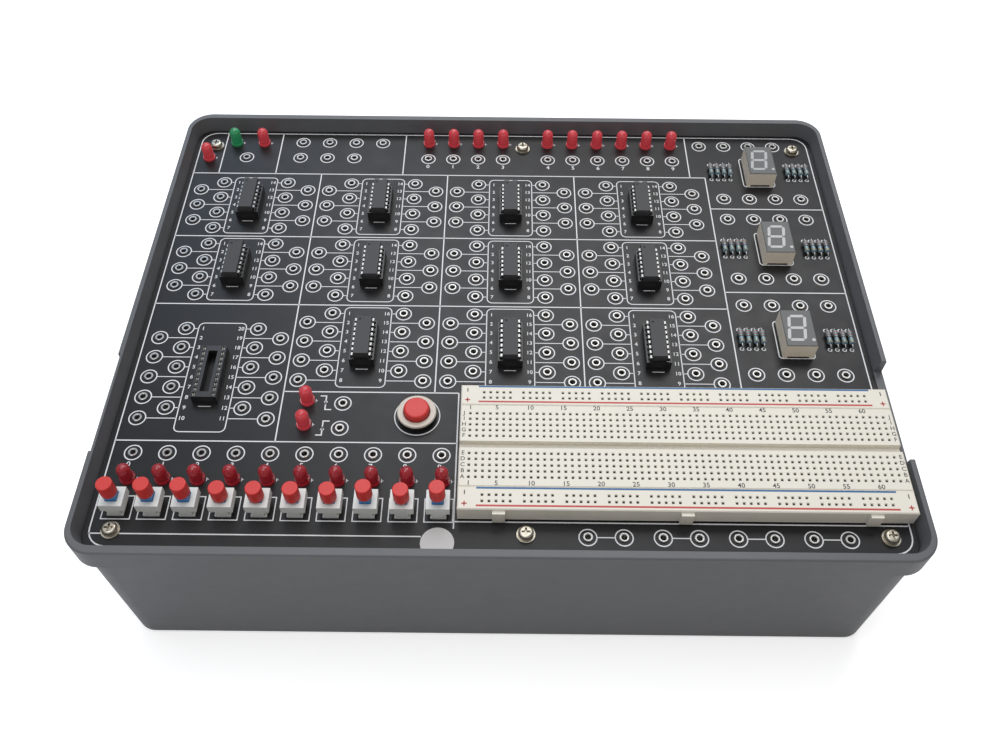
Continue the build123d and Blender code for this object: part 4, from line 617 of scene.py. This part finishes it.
# %% Frame, fields and rings
LINE = 0.42
FRAME_LINE = 0.5
EDGE_X = 147.8
EDGE_Y = 112.0
RING_INNER = 2.98
RING_OUTER = 3.44
FIELDS_ACROSS = (
    (-EDGE_X, 95.7, 83.2), (-EDGE_X, 95.7, 41.6), (-EDGE_X, 95.7, 1.4), (-86.7, -17.1, -43.9),
    (-EDGE_X, -17.1, -67.5), (-EDGE_X, -28.6, -107.0), (95.7, EDGE_X, 62.2), (95.7, EDGE_X, 10.9),
    (-17.1, EDGE_X, -100.9),
)
FIELDS_ALONG = (
    (-135.8, 83.2, EDGE_Y), (-108.7, 83.2, EDGE_Y), (-48.2, 83.2, EDGE_Y), (88.6, 83.2, EDGE_Y),
    (-86.7, -67.5, 83.2), (-26.7, -43.9, 83.2), (33.2, -45.0, 83.2), (95.7, -45.0, 83.2),
    (-17.1, -103.8, -43.9),
)
lines = Shape()
lines.path(rounded(-EDGE_X, -EDGE_Y, EDGE_X, EDGE_Y, 7.0), FRAME_LINE, closed=True)
for start, end, y in FIELDS_ACROSS:
    lines.path([(start, y), (end, y)], FRAME_LINE)
for x, start, end in FIELDS_ALONG:
    lines.path([(x, start), (x, end)], FRAME_LINE)
rings = Shape()
for x, y in patches:
    rings.ring(x, y, RING_INNER, RING_OUTER)
print("rings:", len(patches), "field lines:", len(FIELDS_ACROSS) + len(FIELDS_ALONG))

# %% [markdown]
# ## Chip places
# Each chip stands in a printed frame. A thin line joins each of its pins' numbers to the
# patch socket of that pin, and numbers run down the left side and up the right, as on any
# chip of this kind.

# %% Frames, pin lines and pin numbers
FRAME_HALF = 9.9
PIN_LINE = 0.36
THIN_LINE = 0.3
RING_EDGE = 3.42
FRAME_RADIUS = 2.2
MARGINS = (3.3, 3.3)
LARGE_MARGINS = (3.0, 6.2)
END_MARK_HALF = 2.5
END_MARK_GAP = 1.6
NUMBER_REACH = 7.9
NUMBER_HEIGHT = 1.8
HALF_PITCH = 1.27
LARGE_PINS = 10


def chip_middle(first_y, pins, drop):
    """The middle of a chip's socket along the panel."""
    return first_y - PIN_STEP * (pins - 1) / 2 - drop


figures = Shape()
for cx, first_y, pins, drop in chips:
    above, below = LARGE_MARGINS if pins == LARGE_PINS else MARGINS
    bottom = first_y - PIN_STEP * (pins - 1) - below
    outline = rounded(cx - FRAME_HALF, bottom, cx + FRAME_HALF, first_y + above, FRAME_RADIUS)
    lines.path(outline, LINE, closed=True)
    end_mark = chip_middle(first_y, pins, drop) - pins * HALF_PITCH - END_MARK_GAP
    lines.path([(cx - END_MARK_HALF, end_mark), (cx + END_MARK_HALF, end_mark)], THIN_LINE)
    for row in range(pins):
        y = first_y - PIN_STEP * row
        for side, number in ((-1, row + 1), (1, 2 * pins - row)):
            start = (cx + side * FRAME_HALF, y)
            end = (cx + side * (patch_reach(row) - RING_EDGE), y)
            lines.path([start, end], PIN_LINE)
            write(figures, str(number), cx + side * NUMBER_REACH, y, NUMBER_HEIGHT)
print("chip places:", len(chips))

# %% [markdown]
# ## Marks around the other parts
# Switches, outputs and supply sockets have short lines and plain numbers, and the pulser has
# the two edges that it gives: one falls, the other rises. A small plus-like mark stands at
# the same side of every lamp, and solder rings lie under the ends of the resistors.

# %% Switches, outputs, supply, pulser, displays and lamps
TALL_NUMBER = 2.2
INPUT_NUMBER_Y = -78.2
OUTPUT_NUMBER_Y = 89.2
SWITCH_HALF = 5.2
SWITCH_FRONT = -101.2
SWITCH_REAR = -91.7
PULSER_RING = (8.6, 9.0)
DISPLAY_LEFT = 113.5
DISPLAY_RIGHT = 128.3
DISPLAY_HALF = 9.8
DISPLAY_RADIUS = 1.5
RESISTOR_HALF = 5.08
LEAD_RING = (0.55, 0.95)
EDGE_MIDDLE = -69.4
ARROW_HALF = 0.8
LAMP_MARK_REACH = 3.3
LAMP_MARK_HALF = 0.7
for x in inputs_x:
    corners = [(x - SWITCH_HALF, SWITCH_FRONT), (x + SWITCH_HALF, SWITCH_FRONT),
               (x + SWITCH_HALF, SWITCH_REAR), (x - SWITCH_HALF, SWITCH_REAR)]
    lines.path(corners, LINE, closed=True)
for k, x in enumerate(inputs_x):
    write(figures, str(k), x - 0.6, INPUT_NUMBER_Y, TALL_NUMBER)
for k, x in enumerate(outputs_x):
    write(figures, str(k), x, OUTPUT_NUMBER_Y, TALL_NUMBER)
for x in supply_x:
    lines.path([(x + RING_EDGE, SUPPLY_Y), (x + SUPPLY_GAP - RING_EDGE, SUPPLY_Y)], LINE)
lines.ring(*PULSER, *PULSER_RING, sides=64)
resistor_x = [first + 3.0 * k for k in range(4) for first in (98.7, 135.0)]
for y in DISPLAY_Y:
    outline = rounded(DISPLAY_LEFT, y - DISPLAY_HALF, DISPLAY_RIGHT, y + DISPLAY_HALF, DISPLAY_RADIUS)
    lines.path(outline, LINE, closed=True)
    for x in resistor_x:
        lines.ring(x, y - RESISTOR_HALF, *LEAD_RING, sides=14)
        lines.ring(x, y + RESISTOR_HALF, *LEAD_RING, sides=14)
falling_edge = [(-71.8, -45.9), (EDGE_MIDDLE, -45.9), (EDGE_MIDDLE, -52.4), (-66.9, -52.4)]
rising_edge = [(-66.9, -57.8), (EDGE_MIDDLE, -57.8), (EDGE_MIDDLE, -64.3), (-71.8, -64.3)]
lines.path(falling_edge, FRAME_LINE)
lines.path(rising_edge, FRAME_LINE)
for foot_y, tip_y, order in ((-48.4, -50.2, (0, 2, 1)), (-62.0, -60.2, (0, 1, 2))):
    left = (EDGE_MIDDLE - ARROW_HALF, foot_y, PRINT_LIFT)
    right = (EDGE_MIDDLE + ARROW_HALF, foot_y, PRINT_LIFT)
    lines.add([left, right, (EDGE_MIDDLE, tip_y, PRINT_LIFT)], [order])
for x, y in lamps:
    mark = x + LAMP_MARK_REACH
    lines.path([(mark, y - LAMP_MARK_HALF), (mark, y + LAMP_MARK_HALF)], THIN_LINE)
    lines.path([(mark, y), (mark + LAMP_MARK_HALF, y)], THIN_LINE)
lines.finish("printed_lines", "print_white")
rings.finish("printed_rings", "print_white")
figures.finish("printed_figures", "print_white")
print("printed faces:", len(lines.faces) + len(rings.faces) + len(figures.faces))

# %% [markdown]
# ## A block with contact holes
# A breadboard is three ivory blocks with 830 square holes, each with a small funnel that
# guides a wire to the spring clip below. Cutting so many holes with a Boolean is slow and
# leaves ragged faces. Instead the top is laid out as a grid of cells: a cell is either a
# plain rectangle or a funnel with a short shaft, and the neighbours share their edges exactly.

# %% Holes, groove and sides
PITCH = 2.54
PAD_TOP = 0.5
BLOCK_TOP = 7.95
BREADBOARD_X = 66.75
BREADBOARD_Y = -72.7
LEFT_END = BREADBOARD_X - 82.55
RIGHT_END = BREADBOARD_X + 82.55
CHAMFER = 0.4
SHOULDER = BLOCK_TOP - CHAMFER
FUNNEL_HALF = 0.58
HOLE_HALF = 0.42
FUNNEL_DEPTH = 0.3
HOLE_DEPTH = 0.6
SHADOW_DEPTH = 0.55
GROOVE_FLOOR = BLOCK_TOP - 2.4
LUG_STEP = 67.6
LUG_HALF = 2.3
LUG_REACH = 1.4
LUG_HEIGHT = 6.3


def cuts(low, high, holes):
    """Where the top is cut: inside both chamfers and on both sides of each hole."""
    edges = [h + side * FUNNEL_HALF for h in holes for side in (-1, 1)]
    return sorted([low + CHAMFER, high - CHAMFER] + edges)


def hole(shape, shadows, x0, y0, x1, y1):
    """A funnel in this cell, a short shaft under it and a dark floor that paints the shade in the shaft."""
    mx = (x0 + x1) / 2
    my = (y0 + y1) / 2
    lip = (mx - HOLE_HALF, my - HOLE_HALF, mx + HOLE_HALF, my + HOLE_HALF)
    corners = level(x0, y0, x1, y1, BLOCK_TOP)
    corners += level(*lip, BLOCK_TOP - FUNNEL_DEPTH)
    corners += level(*lip, BLOCK_TOP - HOLE_DEPTH)
    shape.add(corners, between(4) + between(4, start=4))
    # Painted shade: a near-black floor just under the funnel stands for the shade deep in the hole.
    shadows.rect(*lip, BLOCK_TOP - SHADOW_DEPTH)


def long_groove(shape, g0, g1):
    """The floor and the two walls of the groove that takes a chip's waist."""
    shape.rect(LEFT_END, g0, RIGHT_END, g1, GROOVE_FLOOR)
    shape.quad((LEFT_END, g0, BLOCK_TOP), (RIGHT_END, g0, BLOCK_TOP),
               (RIGHT_END, g0, GROOVE_FLOOR), (LEFT_END, g0, GROOVE_FLOOR))
    shape.quad((LEFT_END, g1, GROOVE_FLOOR), (RIGHT_END, g1, GROOVE_FLOOR),
               (RIGHT_END, g1, BLOCK_TOP), (LEFT_END, g1, BLOCK_TOP))


def end_faces(shape, y0, y1, groove):
    """The left and right ends, with their chamfers and, where there is one, the groove."""
    tops = [y0 + CHAMFER, *(groove or ()), y1 - CHAMFER]
    spans = list(zip(tops[0::2], tops[1::2]))
    stops = [y0, *(groove or ()), y1]
    for x, inner in ((LEFT_END, LEFT_END + CHAMFER), (RIGHT_END, RIGHT_END - CHAMFER)):
        for s0, s1 in spans:
            shape.quad((x, s0, SHOULDER), (x, s1, SHOULDER), (inner, s1, BLOCK_TOP), (inner, s0, BLOCK_TOP))
        for s0, s1 in zip(stops, stops[1:]):
            top = GROOVE_FLOOR if groove and s0 == groove[0] else SHOULDER
            shape.quad((x, s0, PAD_TOP), (x, s1, PAD_TOP), (x, s1, top), (x, s0, top))


def long_faces(shape, y0, y1):
    """The front and the rear, with their chamfers and the small triangles at the corners."""
    for y, inner in ((y0, y0 + CHAMFER), (y1, y1 - CHAMFER)):
        shape.quad((LEFT_END + CHAMFER, inner, BLOCK_TOP), (RIGHT_END - CHAMFER, inner, BLOCK_TOP),
                   (RIGHT_END, y, SHOULDER), (LEFT_END, y, SHOULDER))
        shape.quad((LEFT_END, y, PAD_TOP), (RIGHT_END, y, PAD_TOP),
                   (RIGHT_END, y, SHOULDER), (LEFT_END, y, SHOULDER))
        for x, near in ((LEFT_END, LEFT_END + CHAMFER), (RIGHT_END, RIGHT_END - CHAMFER)):
            shape.add([(x, y, SHOULDER), (x, inner, SHOULDER), (near, inner, BLOCK_TOP)], [(0, 1, 2)])


print("sides of a block ready")

# %% [markdown]
# ## The three blocks
# The centre block has 63 columns of five holes on each side of its groove. A rail stands
# before it and one behind it, with their holes in groups of five. Lugs on the front edge of
# each block lock it to the next. Each block takes the place of the plain one in the CAD
# model, and the dark floors that paint the shade in its holes are a mesh of their own.

# %% Blocks
COLUMN_COUNT = 63
RAIL_GROUPS = 10
ROW_START = 3.81
CENTRE_HALF = 17.9
GROOVE_HALF = 1.5
RAIL_REACH = 22.6
RAIL_HALF = 4.7


def perforated(y0, y1, hole_x, hole_y, groove=None):
    """A block with square holes, and the dark floors that paint the shade in those holes."""
    shape = Shape()
    shadows = Shape()
    xs = cuts(LEFT_END, RIGHT_END, hole_x)
    ys = sorted(cuts(y0, y1, hole_y) + list(groove or ()))
    spots_x = {round(h, 3) for h in hole_x}
    spots_y = {round(h, 3) for h in hole_y}
    for cell_x0, cell_x1 in zip(xs, xs[1:]):
        for cell_y0, cell_y1 in zip(ys, ys[1:]):
            mx = (cell_x0 + cell_x1) / 2
            my = (cell_y0 + cell_y1) / 2
            if groove and groove[0] < my < groove[1]:
                continue
            if round(mx, 3) in spots_x and round(my, 3) in spots_y:
                hole(shape, shadows, cell_x0, cell_y0, cell_x1, cell_y1)
            else:
                shape.rect(cell_x0, cell_y0, cell_x1, cell_y1, BLOCK_TOP)
    if groove:
        long_groove(shape, *groove)
    end_faces(shape, y0, y1, groove)
    long_faces(shape, y0, y1)
    shape.rect(LEFT_END, y0, RIGHT_END, y1, PAD_TOP)
    for k in (-1, 0, 1):
        lug_x = BREADBOARD_X + LUG_STEP * k
        shape.block(lug_x - LUG_HALF, y0 - LUG_REACH, PAD_TOP, lug_x + LUG_HALF, y0, PAD_TOP + LUG_HEIGHT)
    return shape, shadows


columns = [BREADBOARD_X + (k - COLUMN_COUNT // 2) * PITCH for k in range(COLUMN_COUNT)]
rows = sorted([BREADBOARD_Y + side * (ROW_START + k * PITCH) for side in (-1, 1) for k in range(5)])
rail_columns = []
for group in range(RAIL_GROUPS):
    middle = BREADBOARD_X + (group - (RAIL_GROUPS - 1) / 2) * 6 * PITCH
    rail_columns += [middle + (k - 2) * PITCH for k in range(5)]
groove = (BREADBOARD_Y - GROOVE_HALF, BREADBOARD_Y + GROOVE_HALF)
block, shadows = perforated(BREADBOARD_Y - CENTRE_HALF, BREADBOARD_Y + CENTRE_HALF, columns, rows, groove)
centre = block.finish("breadboard_face", "ivory_plastic")
shadows.finish("breadboard_clip_shadows", "dark_hollow")
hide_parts("breadboard_body")
for side, node in ((1, "breadboard_back_rail"), (-1, "breadboard_front_rail")):
    middle = BREADBOARD_Y + side * RAIL_REACH
    rail_rows = [middle - PITCH / 2, middle + PITCH / 2]
    block, shadows = perforated(middle - RAIL_HALF, middle + RAIL_HALF, rail_columns, rail_rows)
    rail = block.finish(node + "_face", "ivory_plastic")
    shadows.finish(node + "_shadows", "dark_hollow")
    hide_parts(node)
print("breadboard holes:", len(columns) * len(rows) + 4 * len(rail_columns))

# %% [markdown]
# ## Print on the breadboard
# Each breadboard of this kind has the same plain print: every fifth column has its number,
# each row has its letter at both ends, and along each rail run a blue and a red line with a
# bar and a plus at their ends. It is drawn with the same collector, on top of the blocks.

# %% Numbers, letters and rail lines
INK_Z = BLOCK_TOP + PRINT_LIFT
COLUMN_NUMBER_REACH = 16.6
COLUMN_NUMBER_HEIGHT = 1.9
LETTER_INSET = 1.5
LETTER_HEIGHT = 1.7
RAIL_LINE_REACH = 75.8
RAIL_LINE_HALF = 0.38
SIGN_REACH = 80.0
RED_LINE_DROP = 3.2
PLUS_DROP = 2.4
PLUS_HALF = 1.0
PLUS_STROKE = 0.25
BAR_RISE = 2.2
BAR_HALF = 0.9
BAR_STROKE = 0.2
ink = Shape()
red_line = Shape()
blue_line = Shape()
for number in [1] + list(range(5, COLUMN_COUNT + 1, 5)):
    for reach in (COLUMN_NUMBER_REACH, -COLUMN_NUMBER_REACH):
        write(ink, str(number), columns[number - 1], BREADBOARD_Y + reach, COLUMN_NUMBER_HEIGHT, INK_Z)
for row_y, letter in zip(rows, "ABCDEFGHIJ"):
    for x in (LEFT_END + LETTER_INSET, RIGHT_END - LETTER_INSET):
        write(ink, letter, x, row_y, LETTER_HEIGHT, INK_Z)
for side, blue_rise in ((-1, 4.0), (1, 3.9)):
    middle = BREADBOARD_Y + side * RAIL_REACH
    left = BREADBOARD_X - RAIL_LINE_REACH
    right = BREADBOARD_X + RAIL_LINE_REACH
    for shape, y in ((blue_line, middle + blue_rise), (red_line, middle - RED_LINE_DROP)):
        shape.rect(left, y - RAIL_LINE_HALF, right, y + RAIL_LINE_HALF, INK_Z)
    plus_y = middle - PLUS_DROP
    bar_y = middle + BAR_RISE
    for x in (BREADBOARD_X - SIGN_REACH, BREADBOARD_X + SIGN_REACH):
        ink.rect(x - BAR_STROKE, bar_y - BAR_HALF, x + BAR_STROKE, bar_y + BAR_HALF, INK_Z)
        red_line.rect(x - PLUS_HALF, plus_y - PLUS_STROKE, x + PLUS_HALF, plus_y + PLUS_STROKE, INK_Z)
        red_line.rect(x - PLUS_STROKE, plus_y - PLUS_HALF, x + PLUS_STROKE, plus_y + PLUS_HALF, INK_Z)
ink.finish("breadboard_figures", "print_black")
red_line.finish("breadboard_red_lines", "line_red")
blue_line.finish("breadboard_blue_lines", "line_blue")
print("faces of print:", len(ink.faces) + len(red_line.faces) + len(blue_line.faces))

# %% [markdown]
# ## Contacts and chip marks
# In a chip socket, two thin leaves of sprung metal hold each pin. They are simple blocks, as
# only their upper edges can be seen, and they show best in the large socket that stands
# empty. Each chip has a small round dimple beside its first pin, and a dark disc there paints
# the shade of that dimple.

# %% Contacts and dots
PIN_REACH = 3.81
LEAF_INNER = 0.2
LEAF_OUTER = 0.42
LEAF_HALF = 0.5
LEAF_FOOT = 0.45
LEAF_TOP = 3.4
EMPTY_LEAF_TOP = 4.0
CHIP_TOP = 8.12
CHIP_LENGTH = {7: 19.3, 8: 19.8}
DOT_SIDE = 1.7
DOT_INSET = 1.9
DOT_RADIUS = 0.5
contacts = Shape()
dimple_shades = Shape()
for cx, first_y, pins, drop in chips:
    cy = chip_middle(first_y, pins, drop)
    leaf_top = EMPTY_LEAF_TOP if pins == LARGE_PINS else LEAF_TOP
    for row in range(pins):
        y = cy + (row - (pins - 1) / 2) * PITCH
        for side in (-1, 1):
            x = cx + side * PIN_REACH
            for start, end in ((-LEAF_OUTER, -LEAF_INNER), (LEAF_INNER, LEAF_OUTER)):
                contacts.block(x + start, y - LEAF_HALF, LEAF_FOOT, x + end, y + LEAF_HALF, leaf_top)
    if pins in CHIP_LENGTH:
        # Painted shade: a dark disc on the chip stands for the shade in its dimple.
        dimple_shades.disc(cx - DOT_SIDE, cy + CHIP_LENGTH[pins] / 2 - DOT_INSET, DOT_RADIUS, CHIP_TOP)
contacts.finish("socket_contacts", "nickel")
dimple_shades.finish("chip_marks", "dark_hollow")
print("contact leaves:", len(contacts.faces) // 6)

# %% [markdown]
# ## Bands on the resistors
# A resistor tells its value with rings of lacquer. They could be painted by a material that
# measures along the body, but all 24 resistors share one mesh, so thin tubes around each body
# are simpler, and their places can be read straight from the list.

# %% Bands
BAND_WIDTH = 0.55
BAND_SIDES = 20
RESISTOR_Z = 1.9
END_RADIUS = 1.17
WAIST_RADIUS = 0.92
BANDS = (
    ("band_orange", 2.35, END_RADIUS),
    ("band_orange", 1.0, WAIST_RADIUS),
    ("band_brown", -0.1, WAIST_RADIUS),
    ("band_gold", -2.35, END_RADIUS),
)


def band(shape, x, y, radius):
    """A ring of lacquer around a resistor that lies along the panel."""
    turn = [2 * pi * k / BAND_SIDES for k in range(BAND_SIDES)]
    around = [(x + radius * cos(t), RESISTOR_Z + radius * sin(t)) for t in turn]
    near = [(cx, y - BAND_WIDTH / 2, cz) for cx, cz in around]
    far = [(cx, y + BAND_WIDTH / 2, cz) for cx, cz in around]
    following = [(k + 1) % BAND_SIDES for k in range(BAND_SIDES)]
    shape.add(near + far, [(k, k + BAND_SIDES, n + BAND_SIDES, n) for k, n in enumerate(following)])


bands = {name: Shape() for name, shift, radius in BANDS}
for y in DISPLAY_Y:
    for x in resistor_x:
        for name, shift, radius in BANDS:
            band(bands[name], x, y + shift, radius)
for name, shape in bands.items():
    shape.finish("resistor_" + name, name, smooth=True)
print("resistors with bands:", len(DISPLAY_Y) * len(resistor_x))

# %% [markdown]
# ## Metal inside the lamps
# Through the clear epoxy one sees two posts of tinned metal, and on the taller one the small
# cup that holds the light source. Three blocks in each lamp give that shadow inside the lens.

# %% Posts and cups
LAMP_METAL = (
    (-1.5, -0.25, 0.3, -1.0, 0.25, 3.6),
    (1.0, -0.25, 0.3, 1.5, 0.25, 3.2),
    (-1.5, -0.35, 3.6, 0.4, 0.35, 4.4),
)
electrodes = Shape()
for x, y in lamps:
    for x0, y0, z0, x1, y1, z1 in LAMP_METAL:
        electrodes.block(x + x0, y + y0, z0, x + x1, y + y1, z1)
electrodes.finish("lamp_electrodes", "tinned")
print("blocks in the lamps:", len(lamps) * len(LAMP_METAL))

# %% [markdown]
# ## The floor
# The trainer stands on white, as in a catalogue. A white backdrop behind everything would hide
# the shadow that ties the case to the ground, so there is a real floor, and the camera alone
# sees it glow a little. The glow grows with distance, so that the floor is lost in the white
# around it, and the near floor keeps the shadow.

# %% Floor
FLOOR_HALF = 6.0
GLOW_NEAR = 0.5
GLOW_SPAN = 1.2
floor_mat = Material("floor")
floor_tone = floor_mat.noise(3.0, 2.0)
seen = floor_mat.node("LightPath", output="Is Camera Ray")
distance = floor_mat.node("VectorMath", output="Value", operation="LENGTH", inputs={0: floor_mat.place()})
away = ((distance - GLOW_NEAR) / GLOW_SPAN).clamp()
glow = floor_mat.mix(away, (0.5, 0.5, 0.5), (0.72, 0.72, 0.72))
floor_mat.set(
    Base_Color=floor_mat.mix(floor_tone, (0.86, 0.86, 0.86), (0.90, 0.90, 0.90)),
    Roughness=0.8 + floor_tone * 0.1,
    Emission_Color=floor_mat.mix(seen, (0.0, 0.0, 0.0), glow),
    Emission_Strength=1.0,
)
floor_mesh = bpy.data.meshes.new("floor")
floor_mesh.from_pydata(level(-FLOOR_HALF, -FLOOR_HALF, FLOOR_HALF, FLOOR_HALF, 0.0), [], [(0, 1, 2, 3)])
floor_mesh.materials.append(floor_mat.data)
floor = bpy.data.objects.new("floor", floor_mesh)
bpy.context.scene.collection.objects.link(floor)
print("floor:", 2 * FLOOR_HALF, "m wide")

# %% [markdown]
# ## Soft light
# Five rectangular lights stand around the trainer like windows of a room. The large ones
# behind and above it make the broad reflections on the glossy board, and those in front
# lighten the front wall. The far left one is cool like the sky and the right one warm like a
# lamp, which parts the two ends of the case. A sun lamp would be simpler, but its shadows are
# hard and its reflections are points.

# %% Lights
AIM = Vector((0.0, 0.0, 0.06))
WHITE = (1.0, 1.0, 1.0)
SKY = (0.50, 0.72, 1.0)
DAY = (0.93, 0.97, 1.0)
WARM = (1.0, 0.76, 0.42)


def soft_box(name, place, width, height, power, tint):
    """A rectangular light that faces the middle of the trainer."""
    data = bpy.data.lights.new(name, "AREA")
    data.shape = "RECTANGLE"
    data.size = width
    data.size_y = height
    data.energy = power
    data.color = tint
    light = bpy.data.objects.new(name, data)
    light.location = place
    light.rotation_euler = (Vector(place) - AIM).to_track_quat("Z", "Y").to_euler()
    bpy.context.scene.collection.objects.link(light)


soft_box("rear_box", (0.15, 0.75, 1.05), 1.0, 0.6, 7.6, WHITE)
soft_box("cool_box", (-0.65, 1.25, 1.1), 0.7, 0.7, 2.6, SKY)
soft_box("top_box", (-0.25, -0.05, 1.35), 0.9, 0.9, 6.5, WHITE)
soft_box("front_box", (-0.5, -1.3, 0.6), 0.9, 0.7, 1.9, DAY)
soft_box("warm_box", (0.9, -1.1, 0.6), 0.7, 0.7, 1.6, WARM)
print("lights:", len(bpy.data.lights))

# %% [markdown]
# ## The room around it
# A world of one colour would have to serve twice: as the white behind the trainer and as the
# light of the room, and white all round is too much light. A mix that asks whether the ray
# comes from the camera gives each its own value.

# %% World
ROOM_COLOR = (0.9, 0.93, 1.0, 1.0)
ROOM_STRENGTH = 0.36
world = bpy.data.worlds.new("studio")
bpy.context.scene.world = world
world.use_nodes = True
tree = world.node_tree
room = tree.nodes["Background"]
room.inputs["Color"].default_value = ROOM_COLOR
room.inputs["Strength"].default_value = ROOM_STRENGTH
backdrop = tree.nodes.new("ShaderNodeBackground")
backdrop.inputs["Color"].default_value = (*WHITE, 1.0)
backdrop.inputs["Strength"].default_value = 1.0
ray = tree.nodes.new("ShaderNodeLightPath")
choose = tree.nodes.new("ShaderNodeMixShader")
tree.links.new(ray.outputs["Is Camera Ray"], choose.inputs[0])
tree.links.new(room.outputs[0], choose.inputs[1])
tree.links.new(backdrop.outputs[0], choose.inputs[2])
tree.links.new(choose.outputs[0], tree.nodes["World Output"].inputs[0])
print("room strength:", ROOM_STRENGTH)

# %% [markdown]
# ## The camera
# The camera looks down at the panel from the front, over its middle line. Its rotation is
# written as the three directions right, down and ahead, because such rows follow from points
# whose places are known, while three angles have to be guessed and corrected in turn. A
# Blender camera looks along its own minus Z with Y up, hence the two signs.

# %% Camera
CAMERA_ROWS = ((0.9999, 0.0084, 0.0060), (0.0103, -0.8040, -0.5946), (-0.0002, 0.5946, -0.8041))
camera_data = bpy.data.cameras.new("camera")
camera_data.lens = 34.5
camera_data.sensor_width = 36.0
camera = bpy.data.objects.new("camera", camera_data)
right, down, ahead = [Vector(row).normalized() for row in CAMERA_ROWS]
rotation = Matrix((right, -down, -ahead)).transposed()
camera_place = Vector((panel_x - 0.0008, panel_y - 0.2643, panel_z + 0.3105))
camera.matrix_world = Matrix.Translation(camera_place) @ rotation.to_4x4()
bpy.context.scene.collection.objects.link(camera)
bpy.context.scene.camera = camera
bpy.context.scene.view_settings.view_transform = "Standard"
print("camera at", [round(v, 4) for v in camera_place])
